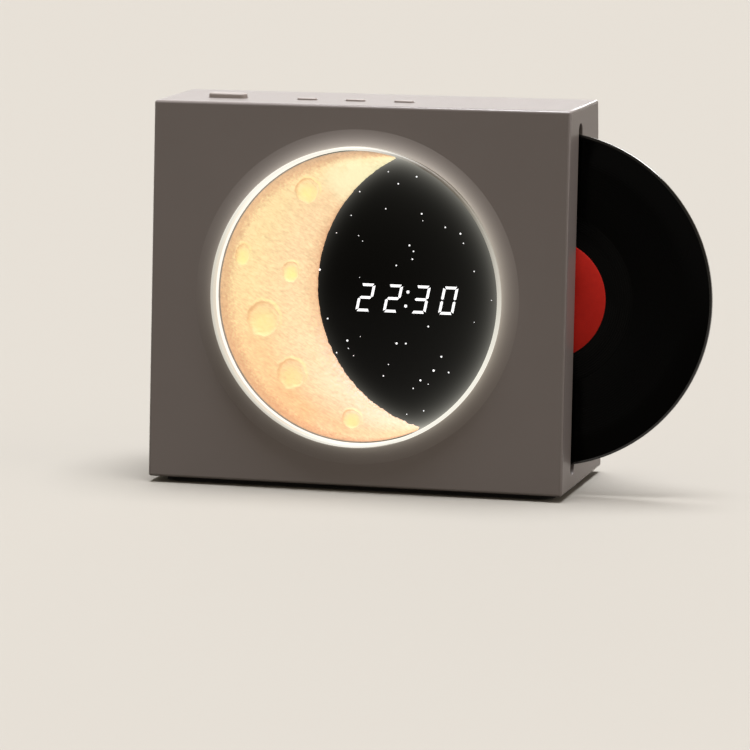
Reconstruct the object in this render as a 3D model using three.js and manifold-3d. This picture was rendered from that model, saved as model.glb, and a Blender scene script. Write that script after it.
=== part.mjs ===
// Speaker clock: a wedge-shaped table case with a lit moon and star display in a round well,
// a turning record that stands half out of a side slot, a rear speaker and four top buttons.
// Millimetres, +Z up, front towards -Y, record towards +X, origin under the middle of the base pad.

import * as THREE from "three";
import { mergeVertices } from "three/addons/utils/BufferGeometryUtils.js";
import Module from "manifold-3d";

const wasm = await Module();
wasm.setup();

// Clearances
const SEAT = 0.1;
const FIT = 0.3;

// Case
const CASE_WIDTH = 170;
const CASE_HEIGHT = 150;
const BASE_DEPTH = 70;
const FRONT_SETBACK = 12;
const REAR_SETBACK = 10;
const WALL = 2.6;
const EDGE_RADIUS = 1;
const CORNER_RADIUS = 1.4;
const PAD_THICKNESS = 2.3;
const PAD_INSET = 5;
const PAD_CORNER = 6;

// Rear cover and its posts
const COVER_THICKNESS = 2.6;
const COVER_RECESS = 0.5;
const POST_SIZE = 9;
const POST_LENGTH = 17;

// Screws
const SCREW_RADIUS = 1.2;
const SCREW_HEAD_RADIUS = 2.5;
const SCREW_HEAD_HEIGHT = 1.5;
const SCREW_LENGTH = 9;
const SHORT_SCREW_LENGTH = 4;
const HEAD_POCKET = 1.7;

// Light ring and the well
const RING_MARGIN = 15.8;
const RING_WALL = 1.2;
const RING_PROUD = 3.5;
const RING_FLANGE_WIDTH = 2.8;
const RING_FLANGE_THICKNESS = 2.9;
const WELL_DEPTH = 9;
const COLLAR_WIDTH = 7.1;
const COLLAR_DROP = 1.5;
const COLLAR_HOLLOW = 0.42;
const SKIRT_WALL = 4.5;
const SKIRT_DEPTH = 6;

// Lenses, baffle and light board
const LENS_THICKNESS = 2;
const BAFFLE_THICKNESS = 2;
const BOARD_THICKNESS = 1.6;
const LED_SIZE = 2;
const LED_HEIGHT = 0.5;
const CARRIER_WIDTH = 17;
const CARRIER_OVERHANG = 4.4;
const CARRIER_THICKNESS = 2;
const CARRIER_BOSS_OFFSET = 10.8;
const CARRIER_BOSS_RADIUS = 3;
const CARRIER_LUG_RADIUS = 4.5;

// Moon
const MOON_EDGE = 1;
const MOON_DOME = 3.2;
const SHADOW_RADIUS = 56.75;
const SHADOW_X = 39.5;
const SHADOW_UP = 4.5;
const CRATERS = [
  [-21.2, 41.3, 4.9],
  [-47.6, 15.0, 3.8],
  [-27.5, 9.0, 3.8],
  [-38.3, -10.1, 6.9],
  [-26.3, -31.5, 5.7],
  [-1.2, -48.3, 3.7],
];
const CRATER_DEPTH = 0.8;

// Clock read-out
const DIGIT_HEIGHT = 11.7;
const DIGIT_WIDTH = 6.8;
const DIGIT_PITCH = 11.2;
const DIGIT_STROKE = 1.2;
const DIGIT_SLANT = 0.17;
const READOUT_X = 19.3;

// Record and its drive
const RECORD_MARGIN = 9;
const RECORD_INSET = 11.8;
const RECORD_RAISE = 1.2;
const RECORD_THICKNESS = 2;
const RECORD_CLEAR = 0.3;
const GROOVE_DEPTH = 0.25;
const RIM_WIDTH = 1.6;
const LABEL_RADIUS = 23.7;
const LABEL_LAND = 1.8;
const LABEL_THICKNESS = 0.25;
const SLOT_WIDTH = 6.5;
const SLOT_MARGIN = 3.3;
const HUB_RADIUS = 9;
const HUB_FLANGE = 1.7;
const SPIGOT_RADIUS = 3.4;
const CAP_RADIUS = 6;
const CAP_THICKNESS = 1.2;
const SHAFT_RADIUS = 1.5;
const HUB_CLEAR = 2.6;
const BRACKET_THICKNESS = 2.4;
const BRACKET_HALF_HEIGHT = 25;
const BRACKET_SCREW_OFFSET = 20;
const BRACKET_POST_HEIGHT = 9;
const BRACKET_POST_CLEAR = 1.4;
const GEARBOX_WIDTH = 12;
const GEARBOX_HEIGHT = 10;
const GEARBOX_LENGTH = 9;
const MOTOR_LENGTH = 12;

// Speaker
const SPEAKER_X = -38;
const SPEAKER_UP = 79;
const SPEAKER_SIZE = 50;
const SPEAKER_CORNER = 6;
const SPEAKER_HOLE_OFFSET = 21;
const SPEAKER_POST_RADIUS = 2.8;
const GASKET_THICKNESS = 2;
const GASKET_WIDTH = 1.7;
const BASKET_SHEET = 1.2;
const BASKET_DEPTH = 10.8;
const CONE_RADIUS = 18;
const CONE_DEPTH = 6;
const CONE_SHEET = 0.5;
const CONE_TRAVEL = 1;
const ROLL_WIDTH = 3.4;
const COIL_RADIUS = 6.1;
const COIL_LENGTH = 7.5;
const MAGNET_RADIUS = 15.5;
const MAGNET_LENGTH = 9.5;
const GRILLE_RADIUS = 20;
const GRILLE_SLOT = 2.4;
const GRILLE_PITCH = 5;

// Main board, supply inlet, switch and battery
const STANDOFF = 8;
const STAKE_RADIUS = 2.4;
const STAKE_TIP_RADIUS = 1.1;
const STAKE_HEAD_RADIUS = 2;
const STAKE_HEAD_HEIGHT = 0.8;
const STAKE_INSET = 4;
const BOARD_LEFT = 0;
const BOARD_WIDTH = 54;
const BOARD_BOTTOM = 16;
const BOARD_HEIGHT = 46;
const CONNECTOR_HEIGHT = 4;
const INLET_X = 15;
const INLET_UP = 24;
const INLET_WIDTH = 9;
const INLET_HEIGHT = 3.4;
const INLET_SHELL = 0.4;
const INLET_DEPTH = 6;
const TONGUE_THICKNESS = 0.7;
const SWITCH_X = 35;
const SWITCH_WIDTH = 10;
const SWITCH_HEIGHT = 4.6;
const SWITCH_LENGTH = 4.5;
const KNOB_WIDTH = 2.4;
const KNOB_HEIGHT = 1.8;
const KNOB_TRAVEL = 2;
const CELL_RADIUS = 9.2;
const CELL_LENGTH = 65;
const CELL_X = -38;
const CELL_UP = 26;
const CELL_STANDOFF = 1.5;
const CRADLE_WALL = 1.6;
const CRADLE_RIB = 3;
const CRADLE_WRAP = 4.3;
const CRADLE_SPACING = 40;
const LEAD_RADIUS = 0.8;
const RIBBON_THICKNESS = 0.4;
const RIBBON_WIDTH = 8;
const RIBBON_X = 6;
const RIBBON_DROP = 36;
const KEY_RIBBON_WIDTH = 4;
const KEY_RIBBON_X = 7.5;

// Top buttons
const BUTTON_SETBACK = 17.6;
const BAR_FROM_END = 25.3;
const BAR_LENGTH = 15.8;
const BAR_WIDTH = 5;
const BAR_RISE = 1.9;
const SMALL_X = -6.8;
const SMALL_PITCH = 20;
const SMALL_LENGTH = 8;
const SMALL_WIDTH = 2.6;
const SMALL_RISE = 0.7;
const BUTTON_EDGE = 0.4;
const BUTTON_TRAVEL = 0.6;
const BUTTON_FLANGE = 1;
const BUTTON_FLANGE_THICKNESS = 0.9;
const TACT_SIZE = 6;
const TACT_HEIGHT = 3.4;
const PLUNGER_RADIUS = 1.6;
const PLUNGER_REACH = 1.5;
const KEY_BOARD_WIDTH = 8;
const KEY_BOARD_MARGIN = 6;

// Facets in a full turn
const LARGE = 48;
const MEDIUM = 24;
const SMALL = 8;

// The leaning front face: x to the right, y into the case, z up along the face
const lean = Math.atan2(FRONT_SETBACK, CASE_HEIGHT);
const face = new THREE.Group();
face.position.set(0, -BASE_DEPTH / 2, PAD_THICKNESS);
face.rotation.x = -lean;
face.updateMatrix();

// The leaning rear face: x to the right, y out of the case, z up along the face
const tuck = Math.atan2(REAR_SETBACK, CASE_HEIGHT);
const rear = new THREE.Group();
rear.position.set(0, BASE_DEPTH / 2, PAD_THICKNESS);
rear.rotation.x = tuck;
rear.updateMatrix();

// Depths behind the front face, from the lenses back to the motor
const ringRadius = CASE_HEIGHT / 2 - RING_MARGIN;
const ringUp = CASE_HEIGHT / 2;
const ringBore = ringRadius - RING_WALL;
const flangeRadius = ringRadius + RING_FLANGE_WIDTH;
const lensFront = WELL_DEPTH - RING_PROUD;
const lensRadius = ringBore - FIT;
const baffleFront = lensFront + LENS_THICKNESS + SEAT;
const flangeFront = SKIRT_DEPTH + SEAT;
const flangeRear = flangeFront + RING_FLANGE_THICKNESS;
const lightBoardFront = Math.max(baffleFront + BAFFLE_THICKNESS, flangeRear + LED_HEIGHT) + SEAT;
const carrierFront = lightBoardFront + BOARD_THICKNESS + SEAT;
const carrierRear = carrierFront + CARRIER_THICKNESS;
const bossRing = ringRadius + CARRIER_BOSS_OFFSET;
const capFront = carrierRear + SEAT + SCREW_HEAD_HEIGHT + RECORD_CLEAR;
const frontLabel = capFront + CAP_THICKNESS + SEAT;
const recordFront = frontLabel + LABEL_THICKNESS + SEAT;
const recordRear = recordFront + RECORD_THICKNESS;
const rearLabel = recordRear + SEAT;
const hubFront = rearLabel + LABEL_THICKNESS + SEAT;
const hubRear = hubFront + HUB_FLANGE;
const bracketFront = hubRear + HUB_CLEAR;
const bracketRear = bracketFront + BRACKET_THICKNESS;
const gearboxFront = bracketRear + SEAT;
const gearboxRear = gearboxFront + GEARBOX_LENGTH;
const motorFront = gearboxRear + SEAT;
const motorRear = motorFront + MOTOR_LENGTH;
const recordRadius = CASE_HEIGHT / 2 - RECORD_MARGIN;
const recordX = CASE_WIDTH / 2 - RECORD_INSET;
const recordUp = ringUp + RECORD_RAISE;
const slotMiddle = (recordFront + recordRear) / 2;
const innerHalfWidth = CASE_WIDTH / 2 - WALL;

// Depths inside the rear face
const coverOuter = -COVER_RECESS;
const coverInner = coverOuter - COVER_THICKNESS;

// Heights under the top of the case
const top = PAD_THICKNESS + CASE_HEIGHT;
const buttonY = -BASE_DEPTH / 2 + FRONT_SETBACK + BUTTON_SETBACK;
const flangeTop = top - WALL - SEAT;
const flangeBottom = flangeTop - BUTTON_FLANGE_THICKNESS;
const tactTop = flangeBottom - SEAT - BUTTON_TRAVEL - FIT;
const keyBoardTop = tactTop - TACT_HEIGHT - SEAT;
const keyBoardBottom = keyBoardTop - BOARD_THICKNESS;
const barX = -CASE_WIDTH / 2 + BAR_FROM_END;
const smallButtons = [SMALL_X - SMALL_PITCH, SMALL_X, SMALL_X + SMALL_PITCH];

// A closed mesh as a solid with its faces pointing out
function solid(geometry) {
  const bare = geometry.clone();
  bare.deleteAttribute("normal");
  bare.deleteAttribute("uv");
  const merged = mergeVertices(bare, 1e-4);
  const points = merged.attributes.position.array;
  const corners = merged.index.array;
  const kept = [];
  let volume = 0;
  const a = new THREE.Vector3();
  const b = new THREE.Vector3();
  const c = new THREE.Vector3();
  for (let i = 0; i < corners.length; i += 3) {
    const [p, q, r] = [corners[i], corners[i + 1], corners[i + 2]];
    if (p === q || q === r || p === r) continue;
    a.fromArray(points, p * 3);
    b.fromArray(points, q * 3);
    c.fromArray(points, r * 3);
    volume += a.dot(b.cross(c));
    kept.push(p, q, r);
  }
  if (volume < 0) kept.reverse();
  return new wasm.Manifold(
    new wasm.Mesh({
      numProp: 3,
      vertProperties: new Float32Array(points),
      triVerts: new Uint32Array(kept),
    }),
  );
}

// A solid moved out of a leaning group into the case's frame
function fromGroup(group, body) {
  return body.transform(Array.from(group.matrix.elements));
}

function material(color, roughness, metalness = 0) {
  return new THREE.MeshStandardMaterial({ color, roughness, metalness });
}

function piece(parent, name, body, look) {
  const out = body.getMesh();
  const geometry = new THREE.BufferGeometry();
  geometry.setAttribute("position", new THREE.BufferAttribute(new Float32Array(out.vertProperties), 3));
  geometry.setIndex(new THREE.BufferAttribute(new Uint32Array(out.triVerts), 1));
  geometry.computeVertexNormals();
  const mesh = new THREE.Mesh(geometry, look);
  mesh.name = name;
  parent.add(mesh);
  return mesh;
}

// A box between two corners
function block(x0, x1, y0, y1, z0, z1) {
  const geometry = new THREE.BoxGeometry(x1 - x0, y1 - y0, z1 - z0);
  geometry.translate((x0 + x1) / 2, (y0 + y1) / 2, (z0 + z1) / 2);
  return solid(geometry);
}

// A round rod along y
function rod(radius, x, z, y0, y1, facets = SMALL) {
  const geometry = new THREE.CylinderGeometry(radius, radius, y1 - y0, facets);
  geometry.translate(x, (y0 + y1) / 2, z);
  return solid(geometry);
}

// A round rod along z
function pillar(radius, x, y, z0, z1, facets = SMALL) {
  const geometry = new THREE.CylinderGeometry(radius, radius, z1 - z0, facets);
  geometry.rotateX(Math.PI / 2);
  geometry.translate(x, y, (z0 + z1) / 2);
  return solid(geometry);
}

// A round rod along x
function bar(radius, y, z, x0, x1, facets = SMALL) {
  const geometry = new THREE.CylinderGeometry(radius, radius, x1 - x0, facets);
  geometry.rotateZ(Math.PI / 2);
  geometry.translate((x0 + x1) / 2, y, z);
  return solid(geometry);
}

// A profile of radius and y turned round the y axis at x, z
function turned(profile, facets, x = 0, z = 0) {
  const points = profile.map(([radius, y]) => new THREE.Vector2(radius, y));
  const geometry = new THREE.LatheGeometry(points, facets);
  geometry.translate(x, 0, z);
  return solid(geometry);
}

function ring(inner, outer, y0, y1, facets, x = 0, z = 0) {
  return turned([[inner, y0], [outer, y0], [outer, y1], [inner, y1], [inner, y0]], facets, x, z);
}

function roundedOutline(width, height, radius) {
  const shape = new THREE.Shape();
  const w = width / 2;
  const h = height / 2;
  shape.moveTo(-w + radius, -h);
  shape.lineTo(w - radius, -h);
  shape.absarc(w - radius, -h + radius, radius, -Math.PI / 2, 0);
  shape.lineTo(w, h - radius);
  shape.absarc(w - radius, h - radius, radius, 0, Math.PI / 2);
  shape.lineTo(-w + radius, h);
  shape.absarc(-w + radius, h - radius, radius, Math.PI / 2, Math.PI);
  shape.lineTo(-w, -h + radius);
  shape.absarc(-w + radius, -h + radius, radius, Math.PI, Math.PI * 1.5);
  return shape;
}

// An outline with round ends, longer along its own x
function pillOutline(length, width) {
  const shape = new THREE.Shape();
  const r = width / 2;
  const s = length / 2 - r;
  shape.moveTo(-s, -r);
  shape.lineTo(s, -r);
  shape.absarc(s, 0, r, -Math.PI / 2, Math.PI / 2);
  shape.lineTo(-s, r);
  shape.absarc(-s, 0, r, Math.PI / 2, Math.PI * 1.5);
  return shape;
}

// An outline of x and z given a thickness from y0 to y1
function slab(shape, y0, y1, x = 0, z = 0, curveSegments = 4) {
  const geometry = new THREE.ExtrudeGeometry(shape, { depth: y1 - y0, bevelEnabled: false, curveSegments });
  geometry.rotateX(Math.PI / 2);
  geometry.translate(x, y1, z);
  return solid(geometry);
}

// An outline of x and y given a height from z0 to z1
function upright(shape, z0, z1, x, y, edge = 0, curveSegments = 4) {
  const geometry = new THREE.ExtrudeGeometry(shape, {
    depth: z1 - z0 - 2 * edge,
    bevelEnabled: edge > 0,
    bevelThickness: edge,
    bevelSize: edge,
    bevelOffset: -edge,
    bevelSegments: 2,
    curveSegments,
  });
  geometry.translate(x, y, z0 + edge);
  return solid(geometry);
}

// A screw along y: its head rests at y and its shank runs the other way from the head
function screw(x, y, z, headSide, length) {
  const profile = [
    [0, headSide * SCREW_HEAD_HEIGHT],
    [SCREW_HEAD_RADIUS, headSide * SCREW_HEAD_HEIGHT * 0.6],
    [SCREW_HEAD_RADIUS, 0],
    [SCREW_RADIUS, 0],
    [SCREW_RADIUS, -headSide * (length - SCREW_RADIUS)],
    [0, -headSide * length],
  ];
  return turned(profile, SMALL).translate([x, y, z]);
}

// A round lead along a curve
function lead(points) {
  const curve = new THREE.CatmullRomCurve3(points);
  const section = new THREE.Shape();
  section.absarc(0, 0, LEAD_RADIUS, 0, Math.PI * 2);
  const geometry = new THREE.ExtrudeGeometry(section, {
    steps: 10,
    extrudePath: curve,
    curveSegments: 4,
    bevelEnabled: false,
  });
  return solid(geometry);
}

// A flat ribbon: a curve in y and z with a width along x
function ribbon(points, x, width) {
  const curve = new THREE.CatmullRomCurve3(points.map(([y, z]) => new THREE.Vector3(y, z, 0)));
  const count = 12;
  const left = [];
  const right = [];
  for (let i = 0; i <= count; i += 1) {
    const at = curve.getPoint(i / count);
    const along = curve.getTangent(i / count);
    const side = new THREE.Vector2(-along.y, along.x).setLength(RIBBON_THICKNESS / 2);
    left.push(new THREE.Vector2(at.x + side.x, at.y + side.y));
    right.push(new THREE.Vector2(at.x - side.x, at.y - side.y));
  }
  const shape = new THREE.Shape(left.concat(right.reverse()));
  const geometry = new THREE.ExtrudeGeometry(shape, { depth: width, bevelEnabled: false });
  const turn = new THREE.Matrix4().makeBasis(
    new THREE.Vector3(0, 1, 0),
    new THREE.Vector3(0, 0, 1),
    new THREE.Vector3(1, 0, 0),
  );
  geometry.applyMatrix4(turn);
  geometry.translate(x - width / 2, 0, 0);
  return solid(geometry);
}

// The space inside the case walls, open behind, drawn in by a margin
function inside(margin) {
  const gap = WALL + margin;
  const frontAt = (up) => -BASE_DEPTH / 2 + (FRONT_SETBACK * up) / CASE_HEIGHT + gap / Math.cos(lean);
  const behind = BASE_DEPTH / 2 + CASE_HEIGHT;
  const shape = new THREE.Shape([
    new THREE.Vector2(frontAt(gap), PAD_THICKNESS + gap),
    new THREE.Vector2(behind, PAD_THICKNESS + gap),
    new THREE.Vector2(behind, top - gap),
    new THREE.Vector2(frontAt(CASE_HEIGHT - gap), top - gap),
  ]);
  const width = CASE_WIDTH - 2 * gap;
  const geometry = new THREE.ExtrudeGeometry(shape, { depth: width, bevelEnabled: false });
  const turn = new THREE.Matrix4().makeBasis(
    new THREE.Vector3(0, 1, 0),
    new THREE.Vector3(0, 0, 1),
    new THREE.Vector3(1, 0, 0),
  );
  geometry.applyMatrix4(turn);
  geometry.translate(-width / 2, 0, 0);
  return solid(geometry);
}

// Outer wedge of the case with rounded edges
function wedge() {
  const geometry = new THREE.ExtrudeGeometry(roundedOutline(CASE_WIDTH, CASE_HEIGHT, CORNER_RADIUS), {
    depth: BASE_DEPTH - 2 * EDGE_RADIUS,
    bevelEnabled: true,
    bevelThickness: EDGE_RADIUS,
    bevelSize: EDGE_RADIUS,
    bevelOffset: -EDGE_RADIUS,
    bevelSegments: 3,
    curveSegments: 3,
  });
  geometry.rotateX(Math.PI / 2);
  geometry.translate(0, BASE_DEPTH / 2 - EDGE_RADIUS, CASE_HEIGHT / 2);
  const points = geometry.attributes.position;
  for (let i = 0; i < points.count; i += 1) {
    const y = points.getY(i);
    const share = points.getZ(i) / CASE_HEIGHT;
    points.setY(i, y < 0 ? y + FRONT_SETBACK * share : y - REAR_SETBACK * share);
  }
  geometry.translate(0, 0, PAD_THICKNESS);
  return solid(geometry);
}

// Outline of the crescent between the moon's rim and the shadow circle, from tip to tip
function crescentEdges(rim, shadow, count, tipTrim) {
  const apart = Math.hypot(SHADOW_X, SHADOW_UP);
  const along = (rim * rim - shadow * shadow + apart * apart) / (2 * apart);
  const tilt = Math.atan2(SHADOW_UP, SHADOW_X);
  const rimHalf = Math.acos(along / rim);
  const shadowHalf = Math.acos((apart - along) / shadow);
  const outer = [];
  const inner = [];
  for (let i = 0; i <= count; i += 1) {
    const share = tipTrim + (1 - 2 * tipTrim) * (i / count);
    const rimAngle = tilt + rimHalf + share * (2 * Math.PI - 2 * rimHalf);
    const shadowAngle = tilt + Math.PI - shadowHalf + share * 2 * shadowHalf;
    outer.push([rim * Math.cos(rimAngle), rim * Math.sin(rimAngle)]);
    inner.push([SHADOW_X + shadow * Math.cos(shadowAngle), SHADOW_UP + shadow * Math.sin(shadowAngle)]);
  }
  return { outer, inner };
}

// Strokes of the four seven-segment digits and the two dots between them, on x and z
function readoutCells() {
  const cells = [];
  const half = DIGIT_HEIGHT / 2;
  const inset = DIGIT_STROKE / 2;
  const put = (x0, x1, z0, z1) => {
    const skew = (x, z) => new THREE.Vector2(x + z * DIGIT_SLANT, z);
    cells.push(new THREE.Shape([skew(x0, z0), skew(x1, z0), skew(x1, z1), skew(x0, z1)]));
  };
  for (let digit = 0; digit < 4; digit += 1) {
    const middle = READOUT_X + (digit - 1.5) * DIGIT_PITCH;
    const left = middle - DIGIT_WIDTH / 2;
    const right = middle + DIGIT_WIDTH / 2;
    for (const z of [-half + inset, 0, half - inset]) {
      put(left + DIGIT_STROKE, right - DIGIT_STROKE, z - inset, z + inset);
    }
    for (const x of [left, right - DIGIT_STROKE]) {
      put(x, x + DIGIT_STROKE, DIGIT_STROKE, half - DIGIT_STROKE);
      put(x, x + DIGIT_STROKE, -half + DIGIT_STROKE, -DIGIT_STROKE);
    }
  }
  for (const z of [-DIGIT_HEIGHT / 4, DIGIT_HEIGHT / 4]) {
    put(READOUT_X - inset, READOUT_X + inset, z - inset, z + inset);
  }
  return cells;
}

const clock = new THREE.Group();
clock.add(face, rear);

// Materials
const taupe = material("#6f655f", 0.55);
const opal = material("#f4ede2", 0.4);
const moonStone = material("#f6dca8", 0.7);
const blackGloss = material("#0d0d0d", 0.15);
const blackPlastic = material("#1b1b1c", 0.6);
const vinyl = material("#060606", 0.3);
const labelRed = material("#8a1d16", 0.6);
const rubber = material("#161514", 0.9);
const steel = material("#a9abad", 0.35, 0.9);
const brass = material("#b08d4a", 0.4, 0.9);
const boardGreen = material("#1f5a3a", 0.5);
const paperBlack = material("#202020", 0.8);
const cellWrap = material("#2f5f8f", 0.5);
const leadRed = material("#a02a22", 0.6);
const ribbonWhite = material("#d8d4cc", 0.6);

// Display group, centred on the ring
const display = new THREE.Group();
display.position.set(0, 0, ringUp);
face.add(display);

// Record group, centred on the spindle
const turntable = new THREE.Group();
turntable.position.set(recordX, 0, recordUp);
face.add(turntable);

const bossAngles = [50, 170, 290].map((degrees) => (degrees * Math.PI) / 180);
const bossPlaces = bossAngles.map((angle) => [bossRing * Math.cos(angle), bossRing * Math.sin(angle)]);
const windowRadius = ringRadius + FIT;
const collarRadius = ringRadius + COLLAR_WIDTH;
const collarRise = RING_PROUD - COLLAR_DROP;
const pilot = SCREW_RADIUS + FIT;

// Front shell: front face and four walls in one moulding
function frontShell() {
  let body = wedge().subtract(inside(0));

  // Raised collar round the well, sweeping up towards the ring, with a skirt behind the wall
  const skirtRadius = windowRadius + SKIRT_WALL;
  const collarProfile = [
    [windowRadius, SKIRT_DEPTH],
    [skirtRadius, SKIRT_DEPTH],
    [skirtRadius, WALL / 2],
    [collarRadius, WALL / 2],
  ];
  const collarSteps = 4;
  for (let i = 0; i <= collarSteps; i += 1) {
    const share = i / collarSteps;
    const rise = collarRise * share * (COLLAR_HOLLOW + (1 - COLLAR_HOLLOW) * share);
    collarProfile.push([collarRadius - (collarRadius - windowRadius) * share, -rise]);
  }
  collarProfile.push([windowRadius, SKIRT_DEPTH]);
  const placed = (part) => fromGroup(face, part.translate([0, 0, ringUp]));
  body = body.subtract(placed(rod(windowRadius + SKIRT_WALL / 2, 0, 0, -WALL, WALL * 2, LARGE)));
  body = body.add(placed(turned(collarProfile, LARGE)));

  // Bosses for the display carrier
  for (const [x, z] of bossPlaces) {
    body = body.add(placed(rod(CARRIER_BOSS_RADIUS, x, z, WALL / 2, carrierFront - SEAT)));
    body = body.subtract(placed(rod(pilot, x, z, carrierFront - SCREW_LENGTH, carrierFront, SMALL)));
  }

  // Slot for the record in the right wall
  const slotOutline = pillOutline(2 * (recordRadius + SLOT_MARGIN), SLOT_WIDTH);
  const slotGeometry = new THREE.ExtrudeGeometry(slotOutline, {
    depth: WALL * 3,
    bevelEnabled: false,
    curveSegments: 6,
  });
  const slotTurn = new THREE.Matrix4().makeBasis(
    new THREE.Vector3(0, 0, 1),
    new THREE.Vector3(0, 1, 0),
    new THREE.Vector3(-1, 0, 0),
  );
  slotGeometry.applyMatrix4(slotTurn);
  slotGeometry.translate(CASE_WIDTH / 2 + WALL, slotMiddle, recordUp);
  body = body.subtract(fromGroup(face, solid(slotGeometry)));

  // Posts on the right wall for the motor bracket
  for (const side of [-1, 1]) {
    const up = recordUp + side * BRACKET_SCREW_OFFSET;
    const half = BRACKET_POST_HEIGHT / 2;
    const from = recordX - GEARBOX_WIDTH / 2;
    const start = hubRear - HUB_FLANGE + BRACKET_POST_CLEAR;
    const post = block(from, innerHalfWidth + WALL / 2, start, bracketFront - SEAT, up - half, up + half);
    body = body.add(fromGroup(face, post));
    body = body.subtract(fromGroup(face, rod(pilot, recordX, up, start - 1, bracketFront + 1, SMALL)));
  }

  // Corner posts for the rear cover, cut off at the cover's leaning plane
  const far = CASE_HEIGHT * 2;
  const coverZone = fromGroup(rear, block(-far, far, coverInner - SEAT, far, -far, far));
  for (const [x, z] of cornerPlaces()) {
    const half = POST_SIZE / 2;
    const rearAt = BASE_DEPTH / 2 - (REAR_SETBACK * (z - PAD_THICKNESS)) / CASE_HEIGHT;
    const y0 = rearAt + coverInner - POST_LENGTH;
    const post = block(x - half, x + half, y0, rearAt + WALL, z - half, z + half);
    body = body.add(post.subtract(coverZone));
  }
  for (const [x, up] of cornerScrews()) {
    const hole = rod(pilot, x, up, coverInner - SCREW_LENGTH - 1, coverInner + 1, SMALL);
    body = body.subtract(fromGroup(rear, hole));
  }

  // Button openings and the stakes that carry the button board
  for (const [x, length, width] of buttonPlaces()) {
    const opening = pillOutline(length + 2 * FIT, width + 2 * FIT);
    body = body.subtract(upright(opening, top - WALL * 1.5, top + 1, x, buttonY));
  }
  for (const x of stakePlaces()) {
    body = body.add(pillar(STAKE_RADIUS, x, buttonY, keyBoardTop + SEAT, top - WALL / 2));
    const tipEnd = keyBoardBottom - SEAT;
    body = body.add(pillar(STAKE_TIP_RADIUS, x, buttonY, tipEnd - STAKE_HEAD_HEIGHT / 2, keyBoardTop + 1));
    body = body.add(pillar(STAKE_HEAD_RADIUS, x, buttonY, tipEnd - STAKE_HEAD_HEIGHT, tipEnd));
  }
  return body;
}

// Middles of the corner posts, on x and z of the case
function cornerPlaces() {
  const x = innerHalfWidth - POST_SIZE / 2 + WALL / 2;
  const low = PAD_THICKNESS + WALL / 2 + POST_SIZE / 2;
  const high = top - WALL / 2 - POST_SIZE / 2;
  return [[-x, low], [x, low], [-x, high], [x, high]];
}

// Screw axes in the corner posts, on x and z of the leaning rear face
function cornerScrews() {
  return cornerPlaces().map(([x, z]) => {
    const at = new THREE.Vector3(0, 0, (z - PAD_THICKNESS) / Math.cos(tuck));
    const shift = Math.tan(tuck) * (COVER_THICKNESS + COVER_RECESS);
    const inward = Math.sign(x) * (WALL / 2);
    return [x - inward, at.z + shift];
  });
}

// Middle, length and width of each button on the top
function buttonPlaces() {
  const places = [[barX, BAR_LENGTH, BAR_WIDTH]];
  for (const x of smallButtons) places.push([x, SMALL_LENGTH, SMALL_WIDTH]);
  return places;
}

// Stakes halfway between neighbouring buttons
function stakePlaces() {
  return [(barX + smallButtons[0]) / 2, (smallButtons[1] + smallButtons[2]) / 2];
}

// Stakes at the corners of the main board, on x and z of the leaning rear face
function boardStakes() {
  const left = BOARD_LEFT + STAKE_INSET;
  const right = BOARD_LEFT + BOARD_WIDTH - STAKE_INSET;
  return [
    [left, BOARD_BOTTOM + STAKE_INSET],
    [right, BOARD_BOTTOM + STAKE_INSET],
    [right, BOARD_BOTTOM + BOARD_HEIGHT - STAKE_INSET],
  ];
}

const shellBody = frontShell();
piece(clock, "front_shell", shellBody, taupe);

// Base pad stuck under the case
const padOutline = roundedOutline(CASE_WIDTH - 2 * PAD_INSET, BASE_DEPTH - 2 * PAD_INSET, PAD_CORNER);
piece(clock, "base_pad", upright(padOutline, 0, PAD_THICKNESS - SEAT, 0, 0), rubber);

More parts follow.
